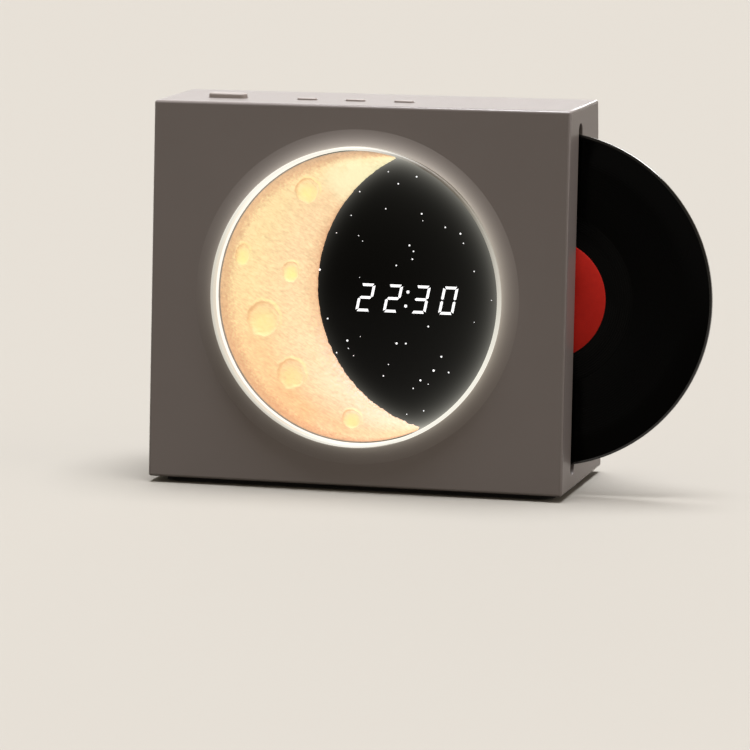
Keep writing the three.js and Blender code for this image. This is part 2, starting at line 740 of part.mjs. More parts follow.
// Rear cover, dropped into the walls behind the corner posts
function rearCover() {
  const far = CASE_HEIGHT;
  const sheet = fromGroup(rear, block(-far, far, coverInner, coverOuter, -far, 2 * far));
  let body = sheet.intersect(inside(FIT));
  const back = new THREE.Matrix4().copy(rear.matrix).invert();
  body = body.transform(Array.from(back.elements));

  // Grille of upright slots in front of the speaker
  const rows = Math.floor(GRILLE_RADIUS / GRILLE_PITCH);
  for (let i = -rows; i <= rows; i += 1) {
    const reach = Math.sqrt(GRILLE_RADIUS * GRILLE_RADIUS - (i * GRILLE_PITCH) ** 2);
    if (reach < GRILLE_SLOT) continue;
    const outline = pillOutline(2 * reach, GRILLE_SLOT);
    const geometry = new THREE.ExtrudeGeometry(outline, {
      depth: COVER_THICKNESS * 2,
      bevelEnabled: false,
      curveSegments: 4,
    });
    geometry.rotateZ(Math.PI / 2);
    geometry.rotateX(Math.PI / 2);
    geometry.translate(SPEAKER_X + i * GRILLE_PITCH, coverOuter + COVER_THICKNESS / 2, SPEAKER_UP);
    body = body.subtract(solid(geometry));
  }

  // Pockets and holes for the four screws
  for (const [x, up] of cornerScrews()) {
    body = body.subtract(rod(SCREW_HEAD_RADIUS + FIT, x, up, coverOuter - HEAD_POCKET, coverOuter + 1));
    body = body.subtract(rod(pilot, x, up, coverInner - 1, coverOuter, SMALL));
  }

  // Posts for the speaker
  for (const [dx, dz] of speakerHoles()) {
    const x = SPEAKER_X + dx;
    const up = SPEAKER_UP + dz;
    const end = coverInner - GASKET_THICKNESS - SEAT;
    body = body.add(rod(SPEAKER_POST_RADIUS, x, up, end, coverInner + COVER_THICKNESS / 4));
    body = body.subtract(rod(pilot, x, up, end - 1, end + SHORT_SCREW_LENGTH - BASKET_SHEET + FIT, SMALL));
  }

  // Stakes for the main board
  for (const [x, up] of boardStakes()) {
    const boardRear = coverInner - STANDOFF;
    const tipEnd = boardRear - BOARD_THICKNESS - SEAT;
    body = body.add(rod(STAKE_RADIUS, x, up, boardRear + SEAT, coverInner + COVER_THICKNESS / 4));
    body = body.add(rod(STAKE_TIP_RADIUS, x, up, tipEnd - STAKE_HEAD_HEIGHT / 2, boardRear + 1));
    body = body.add(rod(STAKE_HEAD_RADIUS, x, up, tipEnd - STAKE_HEAD_HEIGHT, tipEnd));
  }

  // Openings for the supply inlet and the switch knob
  const inletOutline = pillOutline(INLET_WIDTH + 2 * FIT, INLET_HEIGHT + 2 * FIT);
  body = body.subtract(slab(inletOutline, coverInner - 1, coverOuter + 1, INLET_X, INLET_UP));
  const knobRun = (KNOB_WIDTH + KNOB_TRAVEL) / 2 + FIT;
  const knobHalf = KNOB_HEIGHT / 2 + FIT;
  body = body.subtract(
    block(SWITCH_X - knobRun, SWITCH_X + knobRun, coverInner - 1, coverOuter + 1, INLET_UP - knobHalf,
      INLET_UP + knobHalf),
  );

  // Two snap ribs that hold the battery cell
  const cellY = coverInner - CELL_STANDOFF - CELL_RADIUS;
  for (const side of [-0.5, 0.5]) {
    const x = CELL_X + side * CRADLE_SPACING;
    const half = CELL_RADIUS + FIT + CRADLE_WALL;
    body = body.add(
      block(x - CRADLE_RIB / 2, x + CRADLE_RIB / 2, cellY - CRADLE_WRAP, coverInner + COVER_THICKNESS / 4,
        CELL_UP - half, CELL_UP + half),
    );
  }
  const reach = CELL_LENGTH / 2;
  const nest = bar(CELL_RADIUS + FIT, cellY, CELL_UP, CELL_X - reach, CELL_X + reach, MEDIUM);
  return body.subtract(nest);
}

// Screw holes at the corners of the speaker flange, from its axis
function speakerHoles() {
  const s = SPEAKER_HOLE_OFFSET;
  return [[-s, -s], [s, -s], [-s, s], [s, s]];
}

piece(rear, "rear_cover", rearCover(), taupe);
cornerScrews().forEach(([x, up], i) => {
  const seat = coverOuter - HEAD_POCKET + SEAT;
  piece(rear, `rear_screw_${i + 1}`, screw(x, seat, up, 1, SCREW_LENGTH), steel);
});

// Light ring: thin opal wall with a flange behind the skirt
const ringEdge = RING_WALL / 3;
const ringProfile = [
  [ringBore, -RING_PROUD + ringEdge],
  [ringBore + ringEdge, -RING_PROUD],
  [ringRadius - ringEdge, -RING_PROUD],
  [ringRadius, -RING_PROUD + ringEdge],
  [ringRadius, flangeFront],
  [flangeRadius, flangeFront],
  [flangeRadius, flangeRear],
  [ringBore, flangeRear],
  [ringBore, -RING_PROUD + ringEdge],
];
piece(display, "halo_ring", turned(ringProfile, LARGE), opal);

// Sky lens: plain dark disc at the floor of the well
const lensBody = rod(lensRadius, 0, 0, lensFront, lensFront + LENS_THICKNESS, LARGE);
piece(display, "sky_lens", lensBody, blackGloss);

// Moon lens: a crescent pillow on the sky lens, with craters
function moonLens() {
  const count = 30;
  const across = 6;
  const { outer, inner } = crescentEdges(lensRadius, SHADOW_RADIUS, count, 0.02);
  const floor = lensFront - SEAT;
  const points = [];
  const heightAt = (i, j) => {
    const wide = Math.hypot(outer[i][0] - inner[i][0], outer[i][1] - inner[i][1]);
    const share = j / across;
    const swell = Math.sqrt(4 * share * (1 - share)) * Math.min(1, wide / (lensRadius / 2));
    return MOON_EDGE + MOON_DOME * swell;
  };
  for (const layer of [0, 1]) {
    for (let i = 0; i <= count; i += 1) {
      for (let j = 0; j <= across; j += 1) {
        const share = j / across;
        const x = outer[i][0] + (inner[i][0] - outer[i][0]) * share;
        const z = outer[i][1] + (inner[i][1] - outer[i][1]) * share;
        points.push(x, layer === 0 ? floor : floor - heightAt(i, j), z);
      }
    }
  }
  const layerSize = (count + 1) * (across + 1);
  const at = (layer, i, j) => layer * layerSize + i * (across + 1) + j;
  const corners = [];
  const quad = (p, q, r, s) => corners.push(p, q, r, p, r, s);
  for (let i = 0; i < count; i += 1) {
    for (let j = 0; j < across; j += 1) {
      quad(at(0, i, j), at(0, i + 1, j), at(0, i + 1, j + 1), at(0, i, j + 1));
      quad(at(1, i, j), at(1, i, j + 1), at(1, i + 1, j + 1), at(1, i + 1, j));
    }
    quad(at(0, i, 0), at(1, i, 0), at(1, i + 1, 0), at(0, i + 1, 0));
    quad(at(0, i, across), at(0, i + 1, across), at(1, i + 1, across), at(1, i, across));
  }
  for (let j = 0; j < across; j += 1) {
    quad(at(0, 0, j), at(0, 0, j + 1), at(1, 0, j + 1), at(1, 0, j));
    quad(at(0, count, j), at(1, count, j), at(1, count, j + 1), at(0, count, j + 1));
  }
  const geometry = new THREE.BufferGeometry();
  geometry.setAttribute("position", new THREE.Float32BufferAttribute(points, 3));
  geometry.setIndex(corners);
  let body = solid(geometry);

  // Each crater is a shallow dish sunk where the pillow's surface lies under its middle
  for (const [x, z, radius] of CRATERS) {
    let nearest = Infinity;
    let surface = floor;
    for (let k = layerSize; k < 2 * layerSize; k += 1) {
      const apart = Math.hypot(points[k * 3] - x, points[k * 3 + 2] - z);
      if (apart < nearest) {
        nearest = apart;
        surface = points[k * 3 + 1];
      }
    }
    const dish = [
      [0, surface + CRATER_DEPTH],
      [radius * 0.65, surface + CRATER_DEPTH * 0.7],
      [radius, surface - CRATER_DEPTH * 0.4],
      [radius, surface - MOON_DOME],
      [0, surface - MOON_DOME],
    ];
    body = body.subtract(turned(dish, SMALL, x, z));
  }
  return body;
}
piece(display, "moon_lens", moonLens(), moonStone);

// Light baffle: black grid with a moon chamber and a cell for each stroke of the read-out
function lightBaffle() {
  const y0 = baffleFront;
  const y1 = baffleFront + BAFFLE_THICKNESS;
  let body = rod(lensRadius, 0, 0, y0, y1, LARGE);
  const { outer, inner } = crescentEdges(lensRadius - 3 * RING_WALL, SHADOW_RADIUS + 2 * RING_WALL, 20, 0.06);
  const outline = outer.concat(inner.slice().reverse()).map(([x, z]) => new THREE.Vector2(x, z));
  body = body.subtract(slab(new THREE.Shape(outline), y0 - 1, y1 + 1));
  for (const cell of readoutCells()) body = body.subtract(slab(cell, y0 - 1, y1 + 1));
  return body;
}
piece(display, "light_baffle", lightBaffle(), blackPlastic);

// Light board with lamps under the ring flange and in the moon chamber, and a ribbon socket behind
function lightBoard() {
  const boardRear = lightBoardFront + BOARD_THICKNESS;
  let body = rod(flangeRadius, 0, 0, lightBoardFront, boardRear, LARGE);
  const lamp = (x, z) => {
    const half = LED_SIZE / 2;
    const y0 = lightBoardFront - LED_HEIGHT;
    body = body.add(block(x - half, x + half, y0, lightBoardFront + LED_HEIGHT, z - half, z + half));
  };
  const lampRing = (ringBore + flangeRadius) / 2;
  const lamps = 12;
  for (let i = 0; i < lamps; i += 1) {
    const angle = (i / lamps) * 2 * Math.PI;
    lamp(lampRing * Math.cos(angle), lampRing * Math.sin(angle));
  }
  const { outer, inner } = crescentEdges(lensRadius, SHADOW_RADIUS, 6, 0.2);
  outer.forEach(([x, z], i) => lamp((x + inner[i][0]) / 2, (z + inner[i][1]) / 2));
  const w = RIBBON_WIDTH / 2 + 1;
  const z = -RIBBON_DROP;
  const h = CONNECTOR_HEIGHT / 2;
  body = body.add(block(RIBBON_X - w, RIBBON_X + w, boardRear - LED_HEIGHT, boardRear + h, z - h, z + h));
  return body;
}
piece(display, "light_board", lightBoard(), boardGreen);

// Display carrier: ring with three lugs that clamps the stack against the skirt
function displayCarrier() {
  const outerRadius = ringRadius + CARRIER_OVERHANG;
  let body = ring(outerRadius - CARRIER_WIDTH, outerRadius, carrierFront, carrierRear, MEDIUM);
  bossPlaces.forEach(([x, z], i) => {
    const reach = bossRing - ringRadius;
    const arm = new THREE.BoxGeometry(reach, CARRIER_THICKNESS, 2 * CARRIER_LUG_RADIUS);
    arm.translate(ringRadius + reach / 2, (carrierFront + carrierRear) / 2, 0);
    arm.rotateY(-bossAngles[i]);
    body = body.add(solid(arm));
    body = body.add(rod(CARRIER_LUG_RADIUS, x, z, carrierFront, carrierRear));
    body = body.subtract(rod(pilot, x, z, carrierFront - 1, carrierRear + 1, SMALL));
  });
  return body;
}
piece(display, "display_carrier", displayCarrier(), blackPlastic);
bossPlaces.forEach(([x, z], i) => {
  piece(display, `carrier_screw_${i + 1}`, screw(x, carrierRear + SEAT, z, 1, SCREW_LENGTH), steel);
});

// Record: thick label land and rim, thinner grooved band between them
const landRadius = LABEL_RADIUS + LABEL_LAND;
const centreHole = SPIGOT_RADIUS + FIT;
const recordProfile = [
  [centreHole, recordFront],
  [landRadius, recordFront],
  [landRadius + GROOVE_DEPTH * 2, recordFront + GROOVE_DEPTH],
  [recordRadius - RIM_WIDTH, recordFront + GROOVE_DEPTH],
  [recordRadius - RIM_WIDTH + GROOVE_DEPTH * 2, recordFront],
  [recordRadius - GROOVE_DEPTH, recordFront],
  [recordRadius, (recordFront + recordRear) / 2],
  [recordRadius - GROOVE_DEPTH, recordRear],
  [recordRadius - RIM_WIDTH + GROOVE_DEPTH * 2, recordRear],
  [recordRadius - RIM_WIDTH, recordRear - GROOVE_DEPTH],
  [landRadius + GROOVE_DEPTH * 2, recordRear - GROOVE_DEPTH],
  [landRadius, recordRear],
  [centreHole, recordRear],
  [centreHole, recordFront],
];
piece(turntable, "record", turned(recordProfile, LARGE), vinyl);
const paperDisc = (at) => ring(centreHole, LABEL_RADIUS, at, at + LABEL_THICKNESS, MEDIUM);
piece(turntable, "label_front", paperDisc(frontLabel), labelRed);
piece(turntable, "label_rear", paperDisc(rearLabel), labelRed);

// Hub: flange behind the record and a spigot through it, bored for the motor shaft
const hubBore = SHAFT_RADIUS + FIT;
const spigotEnd = capFront + CAP_THICKNESS / 2;
const shaftEnd = frontLabel;
const hubProfile = [
  [0, spigotEnd],
  [SPIGOT_RADIUS, spigotEnd],
  [SPIGOT_RADIUS, hubFront],
  [HUB_RADIUS, hubFront],
  [HUB_RADIUS, hubRear],
  [hubBore, hubRear],
  [hubBore, shaftEnd - FIT],
  [0, shaftEnd - FIT],
];
piece(turntable, "record_hub", turned(hubProfile, MEDIUM), blackPlastic);

// Cap pressed on the end of the spigot
const capProfile = [
  [0, capFront],
  [CAP_RADIUS, capFront],
  [CAP_RADIUS, capFront + CAP_THICKNESS],
  [SPIGOT_RADIUS + FIT, capFront + CAP_THICKNESS],
  [SPIGOT_RADIUS + FIT, spigotEnd - SEAT],
  [0, spigotEnd - SEAT],
];
piece(turntable, "hub_cap", turned(capProfile, MEDIUM), blackPlastic);

// Motor shaft, gearbox and motor can behind the hub
piece(turntable, "motor_shaft", rod(SHAFT_RADIUS, 0, 0, shaftEnd, gearboxFront + GEARBOX_LENGTH / 3), steel);
const gearW = GEARBOX_WIDTH / 2;
const gearH = GEARBOX_HEIGHT / 2;
const gearboxBody = block(-gearW, gearW, gearboxFront, gearboxRear, -gearH, gearH).subtract(
  rod(SHAFT_RADIUS + FIT, 0, 0, gearboxFront - 1, gearboxFront + GEARBOX_LENGTH / 3 + FIT),
);
piece(turntable, "gearbox", gearboxBody, brass);
const canBody = rod(gearW, 0, 0, motorFront, motorRear, MEDIUM).intersect(
  block(-gearW, gearW, motorFront - 1, motorRear + 1, -gearH, gearH),
);
piece(turntable, "motor_can", canBody, steel);

// Bracket: plate screwed to the wall posts, with two jaws along the gearbox
function motorBracket() {
  const right = innerHalfWidth - recordX - FIT;
  const half = BRACKET_HALF_HEIGHT;
  let body = block(-gearW - 1, right, bracketFront, bracketRear, -half, half);
  for (const side of [-1, 1]) {
    const near = gearH + FIT;
    const jaw = block(-gearW, gearW, bracketRear - 1, gearboxRear, near, near + BRACKET_THICKNESS);
    body = body.add(side > 0 ? jaw : jaw.translate([0, 0, -2 * near - BRACKET_THICKNESS]));
    const z = side * BRACKET_SCREW_OFFSET;
    body = body.subtract(rod(pilot, 0, z, bracketFront - 1, bracketRear + 1, SMALL));
  }
  return body.subtract(rod(SHAFT_RADIUS + FIT, 0, 0, bracketFront - 1, bracketRear + 1));
}
piece(turntable, "motor_bracket", motorBracket(), blackPlastic);
[-1, 1].forEach((side, i) => {
  const body = screw(0, bracketRear + SEAT, side * BRACKET_SCREW_OFFSET, 1, SHORT_SCREW_LENGTH);
  piece(turntable, `bracket_screw_${i + 1}`, body, steel);
});

// Speaker group: origin on the inner face of the cover, y towards the rear
const speaker = new THREE.Group();
speaker.position.set(SPEAKER_X, coverInner, SPEAKER_UP);
rear.add(speaker);
const flangeBack = -SEAT - GASKET_THICKNESS - SEAT;
const flangeInside = flangeBack - BASKET_SHEET;
const basketMouth = CONE_RADIUS + ROLL_WIDTH + 2 * FIT;
const basketBottom = flangeInside - BASKET_DEPTH;
const coilHole = COIL_RADIUS + 3 * FIT;

piece(speaker, "speaker_gasket", ring(basketMouth, basketMouth + GASKET_WIDTH, -SEAT - GASKET_THICKNESS, -SEAT,
  MEDIUM), rubber);

// Basket: square flange, conical wall and a back ring for the magnet
function speakerBasket() {
  const outline = roundedOutline(SPEAKER_SIZE, SPEAKER_SIZE, SPEAKER_CORNER);
  let body = slab(outline, flangeInside, flangeBack);
  body = body.subtract(rod(basketMouth + BASKET_SHEET / 2, 0, 0, flangeInside - 1, flangeBack + 1, MEDIUM));
  const wall = [
    [basketMouth, flangeBack],
    [basketMouth + BASKET_SHEET, flangeBack],
    [basketMouth + BASKET_SHEET, flangeInside],
    [MAGNET_RADIUS + BASKET_SHEET / 2, basketBottom],
    [coilHole, basketBottom],
    [coilHole, basketBottom + BASKET_SHEET],
    [MAGNET_RADIUS - BASKET_SHEET / 2, basketBottom + BASKET_SHEET],
    [basketMouth, flangeInside],
    [basketMouth, flangeBack],
  ];
  body = body.add(turned(wall, MEDIUM));
  const edge = SPEAKER_SIZE / 2;
  const tab = CONNECTOR_HEIGHT;
  const hold = BASKET_SHEET / 2;
  body = body.add(block(edge - tab / 2, edge, flangeInside - tab / 2, flangeInside + hold, -tab / 2, tab / 2));
  for (const [x, z] of speakerHoles()) {
    body = body.subtract(rod(pilot, x, z, flangeInside - 1, flangeBack + 1, SMALL));
  }
  return body;
}
piece(speaker, "speaker_basket", speakerBasket(), paperBlack);

// Magnet and yoke with a round gap for the coil
const magnetFront = basketBottom - SEAT;
const magnetBack = magnetFront - MAGNET_LENGTH;
const gapFloor = magnetFront - COIL_LENGTH + BASKET_SHEET;
const coilInner = COIL_RADIUS - CONE_SHEET;
const magnetProfile = [
  [0, magnetFront],
  [coilInner - FIT, magnetFront],
  [coilInner - FIT, gapFloor],
  [COIL_RADIUS + FIT, gapFloor],
  [COIL_RADIUS + FIT, magnetFront],
  [MAGNET_RADIUS, magnetFront],
  [MAGNET_RADIUS, magnetBack],
  [0, magnetBack],
];
piece(speaker, "speaker_magnet", turned(magnetProfile, MEDIUM), steel);

// Cone with its dust cap and coil former
const coneEdge = flangeBack - BASKET_SHEET / 3;
const coneThroat = coneEdge - CONE_DEPTH;
const coilEnd = gapFloor + CONE_TRAVEL + FIT;
const capRise = CONE_DEPTH / 3;
const coneProfile = [
  [0, coneThroat + capRise],
  [COIL_RADIUS * 0.6, coneThroat + capRise * 0.75],
  [COIL_RADIUS + CONE_SHEET, coneThroat],
  [CONE_RADIUS, coneEdge],
  [CONE_RADIUS, coneEdge - CONE_SHEET],
  [COIL_RADIUS, coneThroat - 2 * CONE_SHEET],
  [COIL_RADIUS, coilEnd],
  [coilInner, coilEnd],
  [coilInner, coneThroat - CONE_SHEET],
  [COIL_RADIUS * 0.6, coneThroat + capRise * 0.75 - CONE_SHEET],
  [0, coneThroat + capRise - CONE_SHEET],
];
piece(speaker, "speaker_cone", turned(coneProfile, MEDIUM), paperBlack);

// Surround: half roll between the cone's edge and the basket's mouth
function speakerSurround() {
  const from = CONE_RADIUS + FIT;
  const radius = ROLL_WIDTH / 2;
  const middle = from + radius;
  const outerArc = [];
  const innerArc = [];
  const steps = 4;
  for (let i = 0; i <= steps; i += 1) {
    const turn = (i / steps) * Math.PI;
    outerArc.push([middle - radius * Math.cos(turn), coneEdge - CONE_SHEET + radius * Math.sin(turn)]);
    const r = radius - CONE_SHEET;
    innerArc.push([middle - r * Math.cos(turn), coneEdge - CONE_SHEET + r * Math.sin(turn)]);
  }
  const profile = outerArc.concat(innerArc.reverse());
  profile.push(profile[0]);
  return turned(profile, MEDIUM);
}
piece(speaker, "speaker_surround", speakerSurround(), rubber);
speakerHoles().forEach(([x, z], i) => {
  const body = screw(x, flangeInside - SEAT, z, -1, SHORT_SCREW_LENGTH);
  piece(speaker, `speaker_screw_${i + 1}`, body, steel);
});

// Main board staked to the cover, with sockets for the leads and ribbons on its front
const boardRear = coverInner - STANDOFF;
const boardFront = boardRear - BOARD_THICKNESS;
const socketEnd = boardFront - CONNECTOR_HEIGHT;
const half = CONNECTOR_HEIGHT / 2;
const sockets = {
  battery: { x: BOARD_LEFT + 2 * half + STAKE_INSET, up: CELL_UP + CELL_RADIUS },
  speaker: { x: BOARD_LEFT + 2 * half, up: BOARD_BOTTOM + BOARD_HEIGHT - 3 * CONNECTOR_HEIGHT },
  motor: { x: BOARD_LEFT + BOARD_WIDTH - 2 * half, up: BOARD_BOTTOM + BOARD_HEIGHT / 2 },
};
const keySocketUp = BOARD_BOTTOM + BOARD_HEIGHT - half;
const displaySocketUp = BOARD_BOTTOM + BOARD_HEIGHT / 2;

function mainBoard() {
  let body = block(BOARD_LEFT, BOARD_LEFT + BOARD_WIDTH, boardFront, boardRear, BOARD_BOTTOM,
    BOARD_BOTTOM + BOARD_HEIGHT);
  for (const [x, up] of boardStakes()) {
    body = body.subtract(rod(STAKE_TIP_RADIUS + FIT, x, up, boardFront - 1, boardRear + 1));
  }
  const socket = (x, up, w) => {
    body = body.add(block(x - w, x + w, socketEnd, boardFront + BOARD_THICKNESS / 2, up - half, up + half));
  };
  for (const { x, up } of Object.values(sockets)) socket(x, up, half);
  socket(RIBBON_X + half, displaySocketUp, RIBBON_WIDTH / 2 + 1);
  socket(KEY_RIBBON_X + half, keySocketUp, KEY_RIBBON_WIDTH / 2 + 1);
  return body;
}
piece(rear, "main_board", mainBoard(), boardGreen);

// Supply inlet: rounded metal mouth with a tongue, standing on the board
function supplyInlet() {
  const mouth = coverOuter - INLET_SHELL;
  let body = slab(pillOutline(INLET_WIDTH, INLET_HEIGHT), boardRear + SEAT, mouth, INLET_X, INLET_UP);
  const hollow = pillOutline(INLET_WIDTH - 2 * INLET_SHELL, INLET_HEIGHT - 2 * INLET_SHELL);
  body = body.subtract(slab(hollow, mouth - INLET_DEPTH, mouth + 1, INLET_X, INLET_UP));
  const w = INLET_WIDTH / 2 - INLET_HEIGHT / 2;
  const t = TONGUE_THICKNESS / 2;
  const floor = mouth - INLET_DEPTH - INLET_SHELL;
  return body.add(block(INLET_X - w, INLET_X + w, floor, mouth - 2 * INLET_SHELL, INLET_UP - t, INLET_UP + t));
}
piece(rear, "supply_inlet", supplyInlet(), steel);

// Power switch: body on the board with a track, and a knob that reaches through the cover
const switchEnd = boardRear + SEAT + SWITCH_LENGTH;
const trackFloor = switchEnd - SWITCH_LENGTH / 2;
const knobRest = SWITCH_X - KNOB_TRAVEL / 2;
const trackRun = (KNOB_WIDTH + KNOB_TRAVEL) / 2 + FIT;
const trackHalf = KNOB_HEIGHT / 2 + FIT;
const switchBody = block(SWITCH_X - SWITCH_WIDTH / 2, SWITCH_X + SWITCH_WIDTH / 2, boardRear + SEAT, switchEnd,
  INLET_UP - SWITCH_HEIGHT / 2, INLET_UP + SWITCH_HEIGHT / 2,
).subtract(block(SWITCH_X - trackRun, SWITCH_X + trackRun, trackFloor, switchEnd + 1, INLET_UP - trackHalf,
  INLET_UP + trackHalf));
piece(rear, "switch_body", switchBody, blackPlastic);
const knobHalf = KNOB_HEIGHT / 2;
const knobSide = KNOB_WIDTH / 2;
const knobBody = block(knobRest - knobSide, knobRest + knobSide, trackFloor + FIT, coverOuter - SEAT,
  INLET_UP - knobHalf, INLET_UP + knobHalf);
piece(rear, "switch_knob", knobBody, blackPlastic);

// Battery cell in its snap ribs
const cellY = coverInner - CELL_STANDOFF - CELL_RADIUS;
const cellEnd = CELL_X + CELL_LENGTH / 2;
const cellStart = CELL_X - CELL_LENGTH / 2;
const cellBody = bar(CELL_RADIUS, cellY, CELL_UP, cellStart + FIT, cellEnd - FIT, MEDIUM);
piece(rear, "battery_cell", cellBody, cellWrap);

// Button board under the top wall
function keyBoard() {
  const left = barX - BAR_LENGTH / 2 - KEY_BOARD_MARGIN / 2;
  const right = smallButtons[2] + SMALL_LENGTH / 2 + KEY_BOARD_MARGIN;
  const w = KEY_BOARD_WIDTH / 2;
  let body = block(left, right, buttonY - w, buttonY + w, keyBoardBottom, keyBoardTop);
  for (const x of stakePlaces()) {
    body = body.subtract(pillar(STAKE_TIP_RADIUS + FIT, x, buttonY, keyBoardBottom - 1, keyBoardTop + 1));
  }
  const k = KEY_RIBBON_WIDTH / 2 + FIT;
  const hold = BOARD_THICKNESS / 2;
  const middle = KEY_RIBBON_X + half;
  return body.add(
    block(middle - k, middle + k, buttonY - half, buttonY + half, keyBoardBottom - half, keyBoardBottom + hold),
  );
}
piece(clock, "button_board", keyBoard(), boardGreen);

// Tact switches and their plungers, one under each button
const plungerTop = flangeBottom - SEAT;
const plungerEnd = tactTop - PLUNGER_REACH;
buttonPlaces().forEach(([x], i) => {
  const s = TACT_SIZE / 2;
  const wellFloor = plungerEnd - BUTTON_TRAVEL - FIT;
  const body = block(x - s, x + s, buttonY - s, buttonY + s, keyBoardTop + SEAT, tactTop).subtract(
    pillar(PLUNGER_RADIUS + FIT, x, buttonY, wellFloor, tactTop + 1),
  );
  piece(clock, `tact_switch_${i + 1}`, body, blackPlastic);
  piece(clock, `tact_plunger_${i + 1}`, pillar(PLUNGER_RADIUS, x, buttonY, plungerEnd, plungerTop), steel);
});

// Button caps with a flange that keeps them under the top wall
buttonPlaces().forEach(([x, length, width], i) => {
  const rise = i === 0 ? BAR_RISE : SMALL_RISE;
  const foot = flangeBottom + BUTTON_FLANGE_THICKNESS / 4;
  const cap = upright(pillOutline(length, width), foot, top + rise, x, buttonY, BUTTON_EDGE);
  const wide = pillOutline(length + 2 * BUTTON_FLANGE, width + 2 * BUTTON_FLANGE);
  const body = cap.add(upright(wide, flangeBottom, flangeTop, x, buttonY));
  piece(clock, i === 0 ? "bar_button" : `small_button_${i}`, body, taupe);
});

// Leads between the sockets, in the frame of the rear face
const socketY = socketEnd + half;
const battery = sockets.battery;
piece(rear, "battery_lead", lead([
  new THREE.Vector3(cellEnd, cellY - CELL_RADIUS / 3, CELL_UP),
  new THREE.Vector3(cellEnd + half, cellY - CELL_RADIUS / 3, CELL_UP),
  new THREE.Vector3(battery.x - 3 * half, socketY, battery.up),
  new THREE.Vector3(battery.x - half - FIT, socketY, battery.up),
]), leadRed);
const tabX = SPEAKER_X + SPEAKER_SIZE / 2;
const tabY = coverInner + flangeInside - half / 2;
piece(rear, "speaker_lead", lead([
  new THREE.Vector3(tabX + FIT, tabY, SPEAKER_UP),
  new THREE.Vector3(tabX + 2 * half, tabY, SPEAKER_UP),
  new THREE.Vector3(sockets.speaker.x - 3 * half, socketY, sockets.speaker.up),
  new THREE.Vector3(sockets.speaker.x - half - FIT, socketY, sockets.speaker.up),
]), leadRed);
const toRear = new THREE.Matrix4().copy(rear.matrix).invert().multiply(face.matrix);
const inRear = (x, y, z) => new THREE.Vector3(x, y, z).applyMatrix4(toRear);
const canSide = recordX - GEARBOX_WIDTH / 2;
const canTerminal = motorRear - half;
piece(rear, "motor_lead", lead([
  inRear(canSide - FIT, canTerminal, recordUp),
  inRear(canSide - half, canTerminal, recordUp),
  new THREE.Vector3(sockets.motor.x + 3 * half, socketY, sockets.motor.up),
  new THREE.Vector3(sockets.motor.x + half + FIT, socketY, sockets.motor.up),
]), leadRed);

// Ribbons from the light board and the button board to the main board
const inCase = (group, x, y, z) => new THREE.Vector3(x, y, z).applyMatrix4(group.matrix);
const lightSocket = lightBoardFront + BOARD_THICKNESS + half;
const ribbonStart = inCase(face, 0, lightSocket + FIT, ringUp - RIBBON_DROP);
const ribbonLeave = inCase(face, 0, lightSocket + 3 * half, ringUp - RIBBON_DROP);
const ribbonReach = inCase(rear, 0, socketEnd - 3 * half, displaySocketUp);
const ribbonEnd = inCase(rear, 0, socketEnd - FIT, displaySocketUp);
piece(clock, "display_ribbon", ribbon(
  [ribbonStart, ribbonLeave, ribbonReach, ribbonEnd].map((p) => [p.y, p.z]), RIBBON_X + half / 2, RIBBON_WIDTH,
), ribbonWhite);
const keyReach = inCase(rear, 0, socketY, keySocketUp + 6 * half);
const keyEnd = inCase(rear, 0, socketY, keySocketUp + half + FIT);
const keyStart = keyBoardBottom - half - FIT;
piece(clock, "button_ribbon", ribbon([
  [buttonY, keyStart],
  [buttonY, keyStart - 3 * half],
  [keyReach.y, keyReach.z],
  [keyEnd.y, keyEnd.z],
], KEY_RIBBON_X + half, KEY_RIBBON_WIDTH), ribbonWhite);

export default clock;
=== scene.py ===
import math
import bmesh
import bpy
from mathutils import Matrix, Vector, noise


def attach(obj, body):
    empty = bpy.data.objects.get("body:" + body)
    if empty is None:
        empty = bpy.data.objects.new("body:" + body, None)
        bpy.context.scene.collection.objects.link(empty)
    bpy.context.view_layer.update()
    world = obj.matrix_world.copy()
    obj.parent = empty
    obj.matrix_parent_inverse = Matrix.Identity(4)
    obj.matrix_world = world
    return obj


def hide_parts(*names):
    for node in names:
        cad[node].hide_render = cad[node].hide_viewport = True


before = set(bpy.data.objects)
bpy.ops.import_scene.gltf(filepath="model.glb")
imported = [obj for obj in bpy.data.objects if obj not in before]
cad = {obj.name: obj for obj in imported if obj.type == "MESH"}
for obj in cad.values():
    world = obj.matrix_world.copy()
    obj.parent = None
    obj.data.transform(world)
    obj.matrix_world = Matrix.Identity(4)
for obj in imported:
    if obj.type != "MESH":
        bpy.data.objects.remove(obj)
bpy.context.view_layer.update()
scene = bpy.context.scene
scene.view_settings.view_transform = "Standard"

# Camera
# A long lens on a low stand to the right of the clock, level, looking slightly down on it.
# Place, turn and focal length were fitted to the edges of the case in the photograph.
eye = bpy.data.objects.new("camera", bpy.data.cameras.new("camera"))
eye.data.sensor_width = 36
eye.data.lens = 205.5
eye.location = (0.4564, -1.6357, 0.3193)
eye.rotation_euler = (math.radians(90 - 9.29), 0, math.radians(15.60))
eye.data.clip_end = 60
scene.collection.objects.link(eye)
scene.camera = eye

# Studio
# A large overhead softbox, two low lights behind for the top and the rims, a weak fill from the right, and a
# dim room round them: the top is bright and the front stays in soft shade. The floor is a painted board.

# An sRGB hex code as a linear colour
def linear(code):
    parts = [int(code[i:i + 2], 16) / 255 for i in (1, 3, 5)]
    return [c / 12.92 if c <= 0.04045 else ((c + 0.055) / 1.055) ** 2.4 for c in parts] + [1.0]


# A shader node with its settings, its plain inputs and its links
def add(tree, kind, inputs={}, **settings):
    node = tree.nodes.new(kind)
    for key, value in settings.items():
        setattr(node, key, value)
    for key, value in inputs.items():
        if isinstance(value, bpy.types.NodeSocket):
            tree.links.new(value, node.inputs[key])
        else:
            node.inputs[key].default_value = value
    return node


